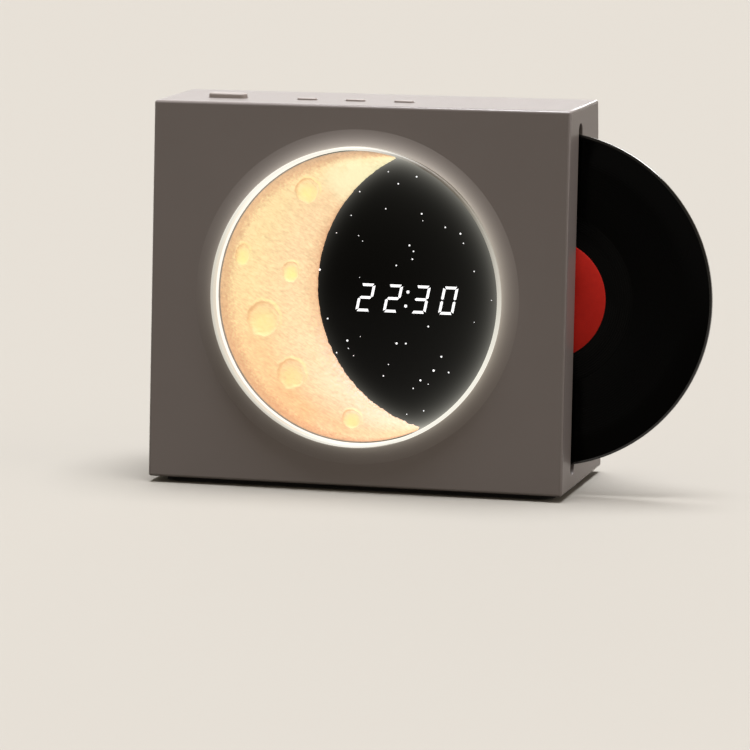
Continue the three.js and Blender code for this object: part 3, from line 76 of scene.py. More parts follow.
# A new material, its node tree and its shader
def finish(name, **sockets):
    material = bpy.data.materials.new(name)
    material.use_nodes = True
    shader = material.node_tree.nodes["Principled BSDF"]
    for key, value in sockets.items():
        shader.inputs[key.replace("_", " ")].default_value = value
    return material, material.node_tree, shader


for name, energy, spread, code, towards in (
    ("softbox", 6.45, 34, "#f8fbff", (0.03, 0.08, 1.0)),
    ("back_light", 0.30, 30, "#ffffff", (-0.45, 0.95, 0.30)),
    ("rim_light", 0.25, 14, "#ffffff", (-0.07, 0.976, 0.208)),
    ("side_fill", 0.6, 40, "#fff6f2", (0.95, -0.12, 0.30)),
):
    lamp = bpy.data.objects.new(name, bpy.data.lights.new(name, "SUN"))
    lamp.data.energy = energy
    lamp.data.angle = math.radians(spread)
    lamp.data.color = linear(code)[:3]
    lamp.rotation_euler = Vector(towards).to_track_quat("Z", "Y").to_euler()
    scene.collection.objects.link(lamp)

room = bpy.data.worlds.new("room")
room.use_nodes = True
room.node_tree.nodes["Background"].inputs["Color"].default_value = linear("#fff2dd")
room.node_tree.nodes["Background"].inputs["Strength"].default_value = 0.36
scene.world = room

floor_mesh = bmesh.new()
bmesh.ops.create_grid(floor_mesh, x_segments=8, y_segments=8, size=20)
floor_data = bpy.data.meshes.new("floor")
floor_mesh.to_mesh(floor_data)
floor_mesh.free()
floor = bpy.data.objects.new("floor", floor_data)
scene.collection.objects.link(floor)

# Painted board: flat and pale to the eye, but dim in the light that it throws back on the case
paint, tree, shader = finish("painted_board", Roughness=0.9)
shader.inputs["Specular IOR Level"].default_value = 0.0
rays = add(tree, "ShaderNodeLightPath")
seen = add(tree, "ShaderNodeMath", {0: rays.outputs["Is Camera Ray"], 1: rays.outputs["Is Glossy Ray"]},
           operation="MAXIMUM")
seen = add(tree, "ShaderNodeMath", {0: seen.outputs[0], 1: rays.outputs["Is Transmission Ray"]},
           operation="MAXIMUM")
tone = add(tree, "ShaderNodeMix", {0: seen.outputs[0], 6: linear("#3e3833"), 7: linear("#9d9891")},
           data_type="RGBA")
tree.links.new(tone.outputs[2], shader.inputs["Base Color"])
floor_data.materials.append(paint)

# Front shell
# One injection moulding of taupe ABS with a fine spark-eroded texture: a leaning front and four walls.
# The wall is pierced for the display well, the record's slot and the four buttons.
MM = 0.001
CASE_WIDTH = 170 * MM
CASE_HEIGHT = 150 * MM
BASE_DEPTH = 70 * MM
FRONT_SETBACK = 12 * MM
REAR_SETBACK = 10 * MM
PAD_THICKNESS = 2.3 * MM
WALL = 2.6 * MM
EDGE_RADIUS = 1.1 * MM
DISC_X = 73.2 * MM
DISC_UP = 76.2 * MM
DISC_DEEP = 17.95 * MM
SLOT_LENGTH = 138.6 * MM
SLOT_WIDTH = 6.5 * MM
WELL_RADIUS = 62 * MM
WELL_DEPTH = 20 * MM
BUTTON_GAP = 0.6 * MM
OPENING_EDGE = 0.25 * MM
SAME_POINT = 0.003 * MM
lean = math.atan2(FRONT_SETBACK, CASE_HEIGHT)
face_place = Matrix.Translation((0, -BASE_DEPTH / 2, PAD_THICKNESS)) @ Matrix.Rotation(-lean, 4, "X")
well_place = face_place @ Matrix.Translation((0, 0, CASE_HEIGHT / 2))
record_place = face_place @ Matrix.Translation((DISC_X, 0, DISC_UP))


# A block with straight sides and round ends, grown up from its foot
def pill(bm, length, width, height, place):
    made = bmesh.ops.create_circle(bm, cap_ends=True, segments=46, radius=width / 2)
    verts = made["verts"]
    reach = Vector(((length - width) / 2, 0, 0))
    bmesh.ops.translate(bm, verts=[v for v in verts if v.co.x > 0], vec=reach)
    bmesh.ops.translate(bm, verts=[v for v in verts if v.co.x < 0], vec=-reach)
    flat = list({f for v in verts for f in v.link_faces})
    grown = bmesh.ops.extrude_face_region(bm, geom=flat)["geom"]
    risen = [g for g in grown if isinstance(g, bmesh.types.BMVert)]
    bmesh.ops.translate(bm, verts=risen, vec=(0, 0, height))
    bmesh.ops.transform(bm, verts=verts + risen, matrix=place)
    return risen


# A finished piece from its mesh, smooth up to an angle in degrees
def new_object(name, bm, material, smooth=40):
    bmesh.ops.recalc_face_normals(bm, faces=bm.faces)
    mesh = bpy.data.meshes.new(name)
    bm.to_mesh(mesh)
    bm.free()
    mesh.shade_smooth()
    mesh.set_sharp_from_angle(angle=math.radians(smooth))
    mesh.materials.append(material)
    made = bpy.data.objects.new(name, mesh)
    scene.collection.objects.link(made)
    return made


# Openings cut through a piece, with the new edges softened and near points merged
def cut(part, cutter, edge):
    crease = math.radians(50)
    tool = bpy.data.objects.new("tool", bpy.data.meshes.new("tool"))
    bmesh.ops.recalc_face_normals(cutter, faces=cutter.faces)
    cutter.to_mesh(tool.data)
    cutter.free()
    scene.collection.objects.link(tool)
    opening = part.modifiers.new("opening", "BOOLEAN")
    opening.object = tool
    opening.solver = "EXACT"
    soften = part.modifiers.new("soften", "BEVEL")
    soften.width = edge
    soften.segments = 2
    soften.angle_limit = crease
    graph = bpy.context.evaluated_depsgraph_get()
    done = bpy.data.meshes.new_from_object(part.evaluated_get(graph))
    clean = bmesh.new()
    clean.from_mesh(done)
    bmesh.ops.remove_doubles(clean, verts=clean.verts, dist=SAME_POINT)
    clean.to_mesh(done)
    clean.free()
    done.shade_smooth()
    done.set_sharp_from_angle(angle=crease)
    part.modifiers.clear()
    part.data = done
    bpy.data.objects.remove(tool)


# Moulded ABS: matt, with a fine even grain. The real grit is about 0.1 mm; it is drawn 0.5 mm to show
def moulded(name, code, rough, grain=0.06):
    material, tree, shader = finish(name, Roughness=rough)
    place = add(tree, "ShaderNodeTexCoord").outputs["Object"]
    cloud = add(tree, "ShaderNodeTexNoise", {"Vector": place, "Scale": 1 / (40 * MM), "Detail": 3.0})
    tint = add(tree, "ShaderNodeMix", {0: cloud.outputs["Fac"], 6: linear(code[0]), 7: linear(code[1])},
               data_type="RGBA")
    tree.links.new(tint.outputs[2], shader.inputs["Base Color"])
    grit = add(tree, "ShaderNodeTexNoise", {"Vector": place, "Scale": 1 / (0.5 * MM), "Detail": 2.0})
    bump = add(tree, "ShaderNodeBump", {"Height": grit.outputs["Fac"], "Strength": grain,
                                        "Distance": 0.1 * MM})
    tree.links.new(bump.outputs[0], shader.inputs["Normal"])
    spread = add(tree, "ShaderNodeMapRange", {"Value": grit.outputs["Fac"], 3: rough - 0.05,
                                              4: rough + 0.05})
    tree.links.new(spread.outputs[0], shader.inputs["Roughness"])
    return material


taupe_abs = moulded("taupe_abs", ("#7d7572", "#837b78"), 0.46)
# The mould's texture stops short of the rounded edges, so they are smoother and catch the light
edge_abs = moulded("taupe_abs_edges", ("#7d7572", "#837b78"), 0.24, 0.02)

shell = bmesh.new()
size = Matrix.Diagonal((CASE_WIDTH, BASE_DEPTH, CASE_HEIGHT, 1))
middle = Matrix.Translation((0, 0, PAD_THICKNESS + CASE_HEIGHT / 2))
bmesh.ops.create_cube(shell, size=1, matrix=middle @ size)
upper = [v for v in shell.verts if v.co.z > CASE_HEIGHT / 2]
bmesh.ops.translate(shell, verts=[v for v in upper if v.co.y < 0], vec=(0, FRONT_SETBACK, 0))
bmesh.ops.translate(shell, verts=[v for v in upper if v.co.y > 0], vec=(0, -REAR_SETBACK, 0))
shell.normal_update()
planes = [f.normal.copy() for f in shell.faces]
open_side = max(shell.faces, key=lambda f: f.normal.y)
outer_edges = [e for e in shell.edges if open_side not in e.link_faces]
bmesh.ops.delete(shell, geom=[open_side], context="FACES_ONLY")
bmesh.ops.solidify(shell, geom=shell.faces[:], thickness=WALL)
rounded = bmesh.ops.bevel(shell, geom=outer_edges, offset=EDGE_RADIUS, offset_type="OFFSET", segments=5,
                          profile=0.5, affect="EDGES", material=-1)["faces"]
for face in rounded:
    face.material_index = 1
case = new_object("case_shell", shell, taupe_abs)
case.data.materials.append(edge_abs)

openings = bmesh.new()
across = Matrix.Rotation(math.radians(90), 4, "X")
bmesh.ops.create_cone(openings, cap_ends=True, segments=128, radius1=WELL_RADIUS, radius2=WELL_RADIUS,
                      depth=WELL_DEPTH, matrix=well_place @ across)
slot_turn = Matrix(((0, 0, 1, 0), (0, 1, 0, 0), (-1, 0, 0, 0), (0, 0, 0, 1)))
slot_middle = Matrix.Translation((CASE_WIDTH / 2 - 2 * WALL, DISC_DEEP, DISC_UP))
pill(openings, SLOT_LENGTH, SLOT_WIDTH, 4 * WALL, face_place @ slot_middle @ slot_turn)
BUTTONS = {
    "bar_button": (-59.7 * MM, 15.8 * MM, 5.0 * MM, 1.9 * MM),
    "small_button_1": (-26.8 * MM, 8.0 * MM, 2.6 * MM, 0.7 * MM),
    "small_button_2": (-6.8 * MM, 8.0 * MM, 2.6 * MM, 0.7 * MM),
    "small_button_3": (13.2 * MM, 8.0 * MM, 2.6 * MM, 0.7 * MM),
}
BUTTON_Y = -5.4 * MM
TOP = PAD_THICKNESS + CASE_HEIGHT
for x, length, width, rise in BUTTONS.values():
    place = Matrix.Translation((x, BUTTON_Y, TOP - 2 * WALL))
    pill(openings, length + BUTTON_GAP, width + BUTTON_GAP, 4 * WALL, place)
cut(case, openings, OPENING_EDGE)

# The walls are flat; only the rounded edges and the openings are shaded smooth
for face in case.data.polygons:
    face.use_smooth = max(face.normal.dot(plane) for plane in planes) < 0.9999
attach(case, "case")
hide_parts("front_shell")

# Collar
# The raised lip of the same moulding: it sweeps up from the front towards the light ring, with a crisp
# outer edge and a small rounded lip beside the ring.
COLLAR_OUT = 66.3
COLLAR_IN = 59.5
COLLAR_RISE = 2.0
COLLAR_FOOT = 1.3
COLLAR_DEEP = 6.0
SPILL_FALL = 2.3


# A profile of radius and depth in millimetres, turned about the axis through the face
def turned(profile, steps, place, closed=False):
    bm = bmesh.new()
    verts = [bm.verts.new((r * MM, q * MM, 0)) for r, q in profile]
    edges = [bm.edges.new(pair) for pair in zip(verts, verts[1:])]
    if closed:
        edges.append(bm.edges.new((verts[-1], verts[0])))
    bmesh.ops.spin(bm, geom=verts + edges, cent=(0, 0, 0), axis=(0, 1, 0), angle=math.tau, steps=steps,
                   use_merge=True)
    bmesh.ops.remove_doubles(bm, verts=bm.verts, dist=1e-6)
    bmesh.ops.transform(bm, verts=bm.verts, matrix=place)
    return bm


# Place in millimetres about a middle point with the lean taken out: X across, Y deep, Z up
def flattened(tree, middle):
    place = add(tree, "ShaderNodeTexCoord").outputs["Object"]
    moved = add(tree, "ShaderNodeMapping", {"Vector": place, "Location": -middle.translation})
    turned_flat = add(tree, "ShaderNodeMapping", {"Vector": moved.outputs[0], "Rotation": (lean, 0, 0)})
    in_mm = add(tree, "ShaderNodeVectorMath", {0: turned_flat.outputs[0], "Scale": 1 / MM},
                operation="SCALE")
    return in_mm.outputs[0]


# Distance from that middle point across the face
def radius_of(tree, spot):
    level = add(tree, "ShaderNodeVectorMath", {0: spot, 1: (1, 0, 1)}, operation="MULTIPLY")
    return add(tree, "ShaderNodeVectorMath", {0: level.outputs[0]}, operation="LENGTH").outputs["Value"]


# The same ABS with a painted glow beside the ring that fades outwards, brighter towards the upper right and
# dimmer at the lower left
lip_abs_painted_glow = moulded("taupe_abs_lip", ("#7d7572", "#837b78"), 0.46)
tree = lip_abs_painted_glow.node_tree
spot = flattened(tree, well_place)
out = radius_of(tree, spot)
fade = add(tree, "ShaderNodeMath", {0: out, 1: -1 / SPILL_FALL, 2: COLLAR_IN / SPILL_FALL},
           operation="MULTIPLY_ADD")
fade = add(tree, "ShaderNodeMath", {0: fade.outputs[0]}, operation="EXPONENT")
aside = add(tree, "ShaderNodeVectorMath", {0: spot, 1: (0.0014, 0, 0.0011)}, operation="DOT_PRODUCT")
aside = add(tree, "ShaderNodeMath", {0: aside.outputs["Value"], 1: 0.195})
spill = add(tree, "ShaderNodeMath", {0: fade.outputs[0], 1: aside.outputs[0]}, operation="MULTIPLY")
spill = add(tree, "ShaderNodeVectorMath", {0: linear("#fff3df")[:3], "Scale": spill.outputs[0]},
            operation="SCALE")
shader = tree.nodes["Principled BSDF"]
tree.links.new(spill.outputs[0], shader.inputs["Emission Color"])
shader.inputs["Emission Strength"].default_value = 1.0
sweep = [(COLLAR_OUT, COLLAR_FOOT), (COLLAR_OUT, 0.03)]
for step in range(1, 15):
    share = step / 14 * 0.97
    out = COLLAR_OUT - (COLLAR_OUT - COLLAR_IN) * share
    sweep.append((out, -COLLAR_RISE * share * (0.42 + 0.58 * share)))
sweep += [(COLLAR_IN + 0.05, -COLLAR_RISE + 0.02), (COLLAR_IN, -COLLAR_RISE + 0.15)]
sweep += [(COLLAR_IN, COLLAR_DEEP), (COLLAR_IN + 2.5, COLLAR_DEEP), (COLLAR_IN + 2.5, COLLAR_FOOT)]
collar = new_object("case_collar", turned(sweep, 160, well_place, closed=True), lip_abs_painted_glow)
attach(collar, "case")

# Buttons
# Separate ABS caps in the case's colour: a long bar that stands proud and three low keys.
# Each is a pill with softened edges that drops on its switch, a shade lighter than the case: partly their
# own tone, partly painted light for their front walls, which are lit brighter than the case's front.
CAP_DEPTH = 3.6 * MM
key_abs = moulded("taupe_abs_keys", ("#8f8580", "#958b86"), 0.42)
for name, (x, length, width, rise) in BUTTONS.items():
    cap = bmesh.new()
    place = Matrix.Translation((x, BUTTON_Y, TOP - CAP_DEPTH))
    crown = pill(cap, length, width, CAP_DEPTH + rise, place)
    rim = [e for e in cap.edges if all(v in crown for v in e.verts)]
    softening = 0.35 * rise + 0.15 * MM
    bmesh.ops.bevel(cap, geom=rim, offset=softening, offset_type="OFFSET", segments=4, profile=0.5,
                    affect="EDGES", material=-1)
    button = new_object("cap_" + name, cap, key_abs)
    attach(button, "bar_key" if name == "bar_button" else "key_" + name[-1])
    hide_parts(name)

# Light ring
# A thin wall of opal acrylic that stands in the collar, lit from lamps behind it. The wall is brightest deep
# in the well, with a band of painted shade at its foot beside the moon; the lip is made dim at the upper
# right.
RING_IN = 58.0
RING_OUT = 59.2
RING_TOP = -3.5
RING_FOOT = 9.0
LIT_TO = 5.0
opal, tree, shader = finish("opal_acrylic", Roughness=0.4, IOR=1.49)
shader.inputs["Base Color"].default_value = linear("#6f6963")
spot = flattened(tree, well_place)
axes = add(tree, "ShaderNodeSeparateXYZ", {0: spot})
milk = add(tree, "ShaderNodeTexNoise", {"Vector": spot, "Scale": 1 / 3, "Detail": 2.0}).outputs["Fac"]
level = add(tree, "ShaderNodeMapRange", {"Value": axes.outputs["Y"], 1: RING_TOP, 2: LIT_TO}).outputs[0]
level = add(tree, "ShaderNodeMath", {0: milk, 1: 0.1, 2: level}, operation="MULTIPLY_ADD").outputs[0]
# The deepest part of the wall, at the moon's foot, turns dark: painted shade for the thin shadow line round
# the moon
wall = add(tree, "ShaderNodeValToRGB", {"Fac": level})
wall.color_ramp.elements[0].color = linear("#fbf9f0")
wall.color_ramp.elements[0].position = 0.90
wall.color_ramp.elements[1].color = linear("#7a746b")
wall.color_ramp.elements[1].position = 0.93
around = add(tree, "ShaderNodeMath", {0: axes.outputs["Z"], 1: axes.outputs["X"]}, operation="ARCTAN2")
around = add(tree, "ShaderNodeMapRange", {"Value": around.outputs[0], 1: -math.pi, 2: math.pi})
# The lip's light varies round the ring and is made dim at the upper right
lip = add(tree, "ShaderNodeValToRGB", {"Fac": around.outputs[0]})
lip.color_ramp.elements[0].color = linear("#c6c3b7")
lip.color_ramp.elements[1].color = linear("#c6c3b7")
for turn, code in ((-120, "#c6c3b7"), (-90, "#f6f4ea"), (-25, "#eceade"), (45, "#5a564c"), (62, "#56524a"),
                   (90, "#f0eee3"), (135, "#f4f2e8"), (162, "#d2cfc3")):
    lip.color_ramp.elements.new(0.5 + turn / 360).color = linear(code)
deep = add(tree, "ShaderNodeMapRange", {"Value": level, 1: 0.42, 2: 0.58})
inner = add(tree, "ShaderNodeMapRange", {"Value": radius_of(tree, spot), 1: 58.1, 2: 58.3,
                                         3: deep.outputs[0], 4: 0.0})
light = add(tree, "ShaderNodeMix", {0: inner.outputs[0], 6: lip.outputs[0], 7: wall.outputs[0]},
            data_type="RGBA")
tree.links.new(light.outputs[2], shader.inputs["Emission Color"])
shader.inputs["Emission Strength"].default_value = 1.0
RING = [
    (RING_IN, RING_FOOT), (RING_IN, -3.0), (58.08, -3.3), (58.3, -3.46), (58.6, RING_TOP), (58.9, -3.46),
    (59.12, -3.3), (RING_OUT, -3.0), (RING_OUT, 6.1), (62.0, 6.1), (62.0, RING_FOOT),
]
ring = new_object("light_ring", turned(RING, 160, well_place, closed=True), opal)
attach(ring, "case")
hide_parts("halo_ring")

# Sky panel
# A smoked acrylic disc, black and glossy, at the floor of the well. A glow is painted in the sheet
# near the ring and along the edge of the moon, strongest near the moon's tips.
PANEL_RADIUS = 57.7
PANEL_FRONT = 5.5
SHADOW = 56.75
SHADOW_X = 39.5
SHADOW_UP = 4.5
sky, tree, shader = finish("smoked_acrylic", Roughness=0.16, IOR=1.49)
shader.inputs["Base Color"].default_value = linear("#0b0b0a")
shader.inputs["Specular IOR Level"].default_value = 0.06
spot = flattened(tree, well_place)
# Painted glow: it fades away from the ring and from the moon's edge
rim_gap = add(tree, "ShaderNodeMath", {0: PANEL_RADIUS, 1: radius_of(tree, spot)}, operation="SUBTRACT")
level = add(tree, "ShaderNodeVectorMath", {0: spot, 1: (1, 0, 1)}, operation="MULTIPLY")
shade = add(tree, "ShaderNodeVectorMath", {0: level.outputs[0], 1: (SHADOW_X, 0, SHADOW_UP)},
            operation="DISTANCE")
moon_gap = add(tree, "ShaderNodeMath", {0: SHADOW, 1: shade.outputs["Value"]}, operation="SUBTRACT")
height = add(tree, "ShaderNodeSeparateXYZ", {0: spot}).outputs["Z"]
height = add(tree, "ShaderNodeMath", {0: height, 1: 50.0}, operation="DIVIDE")
tips = add(tree, "ShaderNodeMath", {0: height.outputs[0], 1: height.outputs[0]}, operation="MULTIPLY")
tips = add(tree, "ShaderNodeMath", {0: tips.outputs[0], 1: 0.1, 2: 0.012}, operation="MULTIPLY_ADD")
total = None
for gap, fall, amount in (
    (rim_gap, 1.0, 0.10),
    (rim_gap, 2.8, 0.24),
    (rim_gap, 16.0, 0.016),
    (moon_gap, 2.2, tips.outputs[0]),
):
    power = add(tree, "ShaderNodeMath", {0: gap.outputs[0], 1: 0.0}, operation="MAXIMUM")
    power = add(tree, "ShaderNodeMath", {0: power.outputs[0], 1: -1 / fall}, operation="MULTIPLY")
    power = add(tree, "ShaderNodeMath", {0: power.outputs[0]}, operation="EXPONENT")
    power = add(tree, "ShaderNodeMath", {0: power.outputs[0], 1: amount}, operation="MULTIPLY")
    if total is None:
        total = power
    else:
        total = add(tree, "ShaderNodeMath", {0: total.outputs[0], 1: power.outputs[0]})
painted_glow = add(tree, "ShaderNodeVectorMath", {0: linear("#fdfaec")[:3], "Scale": total.outputs[0]},
           operation="SCALE")
tree.links.new(painted_glow.outputs[0], shader.inputs["Emission Color"])
shader.inputs["Emission Strength"].default_value = 1.0
PANEL = [
    (0, PANEL_FRONT), (57.4, PANEL_FRONT), (57.6, 5.56), (PANEL_RADIUS, 5.7), (PANEL_RADIUS, 7.3),
    (57.5, 7.5), (0, 7.5),
]
panel = new_object("sky_panel", turned(PANEL, 128, well_place), sky)
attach(panel, "case")
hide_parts("sky_lens")

# Stars and read-out
# Pin holes and strokes left clear in the black print, lit from behind: small round dots, and four slanted
# seven-stroke digits with mitred ends and two dots between the pairs.
lit, tree, shader = finish("lit_print", Roughness=0.4)
shader.inputs["Base Color"].default_value = linear("#e8e8ea")
place = add(tree, "ShaderNodeTexCoord").outputs["Object"]
speck = add(tree, "ShaderNodeTexNoise", {"Vector": place, "Scale": 1 / (1.5 * MM), "Detail": 2.0})
ramp = add(tree, "ShaderNodeValToRGB", {"Fac": speck.outputs["Fac"]})
ramp.color_ramp.elements[0].color = linear("#f4f5f8")
ramp.color_ramp.elements[1].color = linear("#ffffff")
tree.links.new(ramp.outputs[0], shader.inputs["Emission Color"])
shader.inputs["Emission Strength"].default_value = 1.1
DOT_THICKNESS = 0.06
STARS = [
    (10.6, 49.7, 0.24), (22.2, 48.1, 0.32), (14.8, 45.1, 0.31), (-0.9, 41.5, 0.28), (9.9, 35.1, 0.25),
    (24.6, 33.6, 0.34), (-4.2, 32.0, 0.22), (25.1, 30.9, 0.17), (34.3, 28.6, 0.30), (-10.1, 24.9, 0.21),
    (40.5, 26.3, 0.36), (-1.0, 24.1, 0.20), (0.7, 22.0, 0.18), (41.8, 22.6, 0.24), (19.9, 21.0, 0.36),
    (21.6, 18.7, 0.30), (21.2, 15.6, 0.30), (14.7, 12.9, 0.29), (-16.7, 10.1, 0.45), (46.4, 11.7, 0.25),
    (-0.2, 7.6, 0.13), (53.7, 0.6, 0.16), (-13.0, -9.2, 0.30), (46.9, -8.3, 0.17), (28.3, -10.7, 0.34),
    (0.6, -15.8, 0.15), (-4.7, -17.6, 0.40), (15.5, -17.9, 0.42), (19.3, -17.8, 0.34), (-4.2, -20.7, 0.20),
    (-9.0, -22.6, 0.27), (-2.0, -23.5, 0.19), (33.9, -22.4, 0.37), (12.4, -26.4, 0.21), (30.9, -28.0, 0.44),
    (37.0, -28.5, 0.31), (10.4, -31.0, 0.28), (25.6, -32.1, 0.39), (28.8, -33.5, 0.19), (22.7, -35.4, 0.26),
    (27.2, -44.1, 0.25), (20.3, -45.8, 0.22),
]


# A small round dot on the panel
def dot(bm, x, up, radius):
    level = Matrix.Translation((x * MM, (PANEL_FRONT - DOT_THICKNESS / 2) * MM, up * MM)) @ across
    bmesh.ops.create_cone(bm, cap_ends=True, segments=12, radius1=radius * MM, radius2=radius * MM,
                          depth=DOT_THICKNESS * MM, matrix=well_place @ level)


dots = bmesh.new()
for x, up, radius in STARS:
    dot(dots, x, up, radius)
stars = new_object("stars", dots, lit)
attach(stars, "case")

DIGIT_WIDTH = 6.1
DIGIT_HALF = 5.55
STROKE = 1.05
GAP = 0.12
DIGIT_PITCH = 11.27
DIGIT_LEFT = -0.65
DIGIT_DROP = 0.2
STROKE_THICKNESS = 0.05
SLANT = 0.19
COLON = [(19.7, 2.6), (18.9, -3.0)]
COLON_RADIUS = 0.62
inset = STROKE / 2 + GAP
ledge = STROKE + GAP
head = [
    (inset, DIGIT_HALF), (DIGIT_WIDTH - inset, DIGIT_HALF),
    (DIGIT_WIDTH - ledge, DIGIT_HALF - STROKE), (ledge, DIGIT_HALF - STROKE),
]
limb = [
    (DIGIT_WIDTH, DIGIT_HALF - inset), (DIGIT_WIDTH, inset), (DIGIT_WIDTH - STROKE / 2, GAP * 2),
    (DIGIT_WIDTH - STROKE, inset), (DIGIT_WIDTH - STROKE, DIGIT_HALF - ledge),
]
waist = [
    (inset, 0), (ledge, STROKE / 2), (DIGIT_WIDTH - ledge, STROKE / 2), (DIGIT_WIDTH - inset, 0),
    (DIGIT_WIDTH - ledge, -STROKE / 2), (ledge, -STROKE / 2),
]
STROKES = {
    "a": head,
    "b": limb,
    "c": [(x, -z) for x, z in limb],
    "d": [(x, -z) for x, z in head],
    "e": [(DIGIT_WIDTH - x, -z) for x, z in limb],
    "f": [(DIGIT_WIDTH - x, z) for x, z in limb],
    "g": waist,
}
figures = bmesh.new()
for place, strokes in enumerate(("abged", "abged", "abgcd", "abcdef")):
    left = DIGIT_LEFT + DIGIT_PITCH * place
    for name in strokes:
        corners = []
        for x, z in STROKES[name]:
            spot = Vector(((left + x + z * SLANT) * MM, PANEL_FRONT * MM, (z - DIGIT_DROP) * MM))
            corners.append(figures.verts.new(well_place @ spot))
        plate = figures.faces.new(corners)
        grown = bmesh.ops.extrude_face_region(figures, geom=[plate])["geom"]
        raised = [v for v in grown if isinstance(v, bmesh.types.BMVert)]
        rise = well_place.to_3x3() @ Vector((0, -STROKE_THICKNESS * MM, 0))
        bmesh.ops.translate(figures, verts=raised, vec=rise)
for x, up in COLON:
    dot(figures, x, up, COLON_RADIUS)
digits = new_object("readout", figures, lit)
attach(digits, "case")

# Moon
# A crescent of warm resin cast with a rough cratered surface, glued on the panel and lit through its back.
# Thin places glow yellow; towards the rim and the terminator the glow is dulled with painted shade, where
# the dome falls away.
RIM = 57.6
MOON_BACK = 5.4
MOON_EDGE = 0.5
MOON_SWELL = 3.5
ALONG_STEPS = 460
ACROSS_STEPS = 110
LIP_HEIGHT = 0.5
BOWL_DEPTH = 0.9
DIAGONAL = 1.414

# Place across and up, radius, paleness and narrowness of each crater
CRATERS = [
    (-21.2, 41.3, 4.9, 0.7, 0.95), (-47.6, 15.0, 4.2, 0.8, 0.72), (-27.5, 9.0, 4.2, 1.0, 0.75),
    (-38.3, -10.1, 6.9, 0.55, 0.92), (-26.3, -31.5, 5.9, 0.45, 0.92), (-1.2, -48.3, 3.7, 0.8, 1.0),
]
apart = math.hypot(SHADOW_X, SHADOW_UP)
along = (RIM ** 2 - SHADOW ** 2 + apart ** 2) / (2 * apart)
tilt = math.atan2(SHADOW_UP, SHADOW_X)
rim_half = math.acos(along / RIM)
shadow_half = math.acos((apart - along) / SHADOW)
relief = bmesh.new()
relief.loops.layers.uv.new("crescent")
bed_glow_and_highlight = relief.verts.layers.float.new("bed_glow_and_highlight")
brow_painted_shade = relief.verts.layers.float.new("brow_painted_shade")
thin = relief.verts.layers.float.new("thin")
bmesh.ops.create_grid(relief, x_segments=ALONG_STEPS, y_segments=ACROSS_STEPS, size=0.5, calc_uvs=True)
for v in relief.verts:
    # Place on the crescent, from tip to tip along it and from its round rim to its ragged inner edge
    share = 0.01 + 0.98 * (v.co.x + 0.5)
    turn = v.co.y + 0.5
    ease = 0.5 - 0.5 * math.cos(math.pi * turn)
    rim_turn = tilt + rim_half + share * (math.tau - 2 * rim_half)
    edge_turn = tilt + math.pi - shadow_half + share * 2 * shadow_half
    outer = Vector((RIM * math.cos(rim_turn), RIM * math.sin(rim_turn)))
    ragged = 0.5 * noise.noise(Vector((share * 60, 3.1, 0)))
    ragged += 0.3 * noise.noise(Vector((share * 190, 7.7, 0)))
    edge = SHADOW + ragged * (0.4 + 1.2 * max(0, share - 0.5))
    inner = Vector((SHADOW_X + edge * math.cos(edge_turn), SHADOW_UP + edge * math.sin(edge_turn)))
    spot = outer.lerp(inner, ease)

    # Swelling of the crescent and roughness of the cast surface
    swell = math.sin(math.pi * turn) * min(1, (outer - inner).length / (RIM / 2))
    height = MOON_EDGE + MOON_SWELL * swell ** 0.8
    here = Vector((spot.x, spot.y, 0))
    rough = 0.35 * noise.fractal(here / 9, 1.0, 2.0, 4) + 0.16 * noise.noise(here / 1.1)
    height += rough * min(1, swell * 2.5)
    v[thin] = 0.5 - 0.3 * noise.noise(here / 1.1) - 0.22 * noise.noise(here / 2.6)

    # Craters: a bowl with a raised lip; a pale bed where the bowl is thin and glows, set low in the bowl as
    # painted light; a painted highlight on the ridge at the upper right and painted shade inside the rim at
    # the upper left
    for x, up, radius, shine, narrow in CRATERS:
        off = math.hypot((spot.x - x) / narrow, spot.y - up) / radius * (1 + 0.12 * noise.noise(here / 2.4))
        if off < 1.8:
            bowl = max(0, 1 - off ** 4)
            lip = math.exp(-((off - 1.02) / 0.13) ** 2)
            height += LIP_HEIGHT * lip - BOWL_DEPTH * bowl
            lower = math.hypot((spot.x - x) / narrow, spot.y - up + 0.25 * radius) / radius
            bed = 1.0 + 0.5 * noise.noise(here / 1.7)
            v[bed_glow_and_highlight] = max(v[bed_glow_and_highlight], shine * bed * max(0, 1 - lower ** 2) * min(1, max(0, (1.0 - off) * 8)))
            crest_highlight_side = (spot.x - x + spot.y - up) / (DIAGONAL * radius * max(off, 0.1))
            v[bed_glow_and_highlight] = max(v[bed_glow_and_highlight], 0.55 * math.exp(-((off - 1.13) / 0.07) ** 2) * max(0, crest_highlight_side))
            brow_shade_side = (x - spot.x + spot.y - up) / (DIAGONAL * radius * max(off, 0.1))
            v[brow_painted_shade] = max(v[brow_painted_shade], math.exp(-((off - 0.97) / 0.10) ** 2) * max(0, 0.15 + 0.6 * brow_shade_side))
    v.co = (spot.x * MM, (MOON_BACK - height) * MM, spot.y * MM)
border = [e for e in relief.edges if e.is_boundary]
skirt = bmesh.ops.extrude_edge_only(relief, edges=border)["geom"]
for v in skirt:
    if isinstance(v, bmesh.types.BMVert):
        v.co.y = MOON_BACK * MM
bmesh.ops.holes_fill(relief, edges=[e for e in relief.edges if e.is_boundary], sides=0)
bmesh.ops.transform(relief, verts=relief.verts, matrix=well_place)

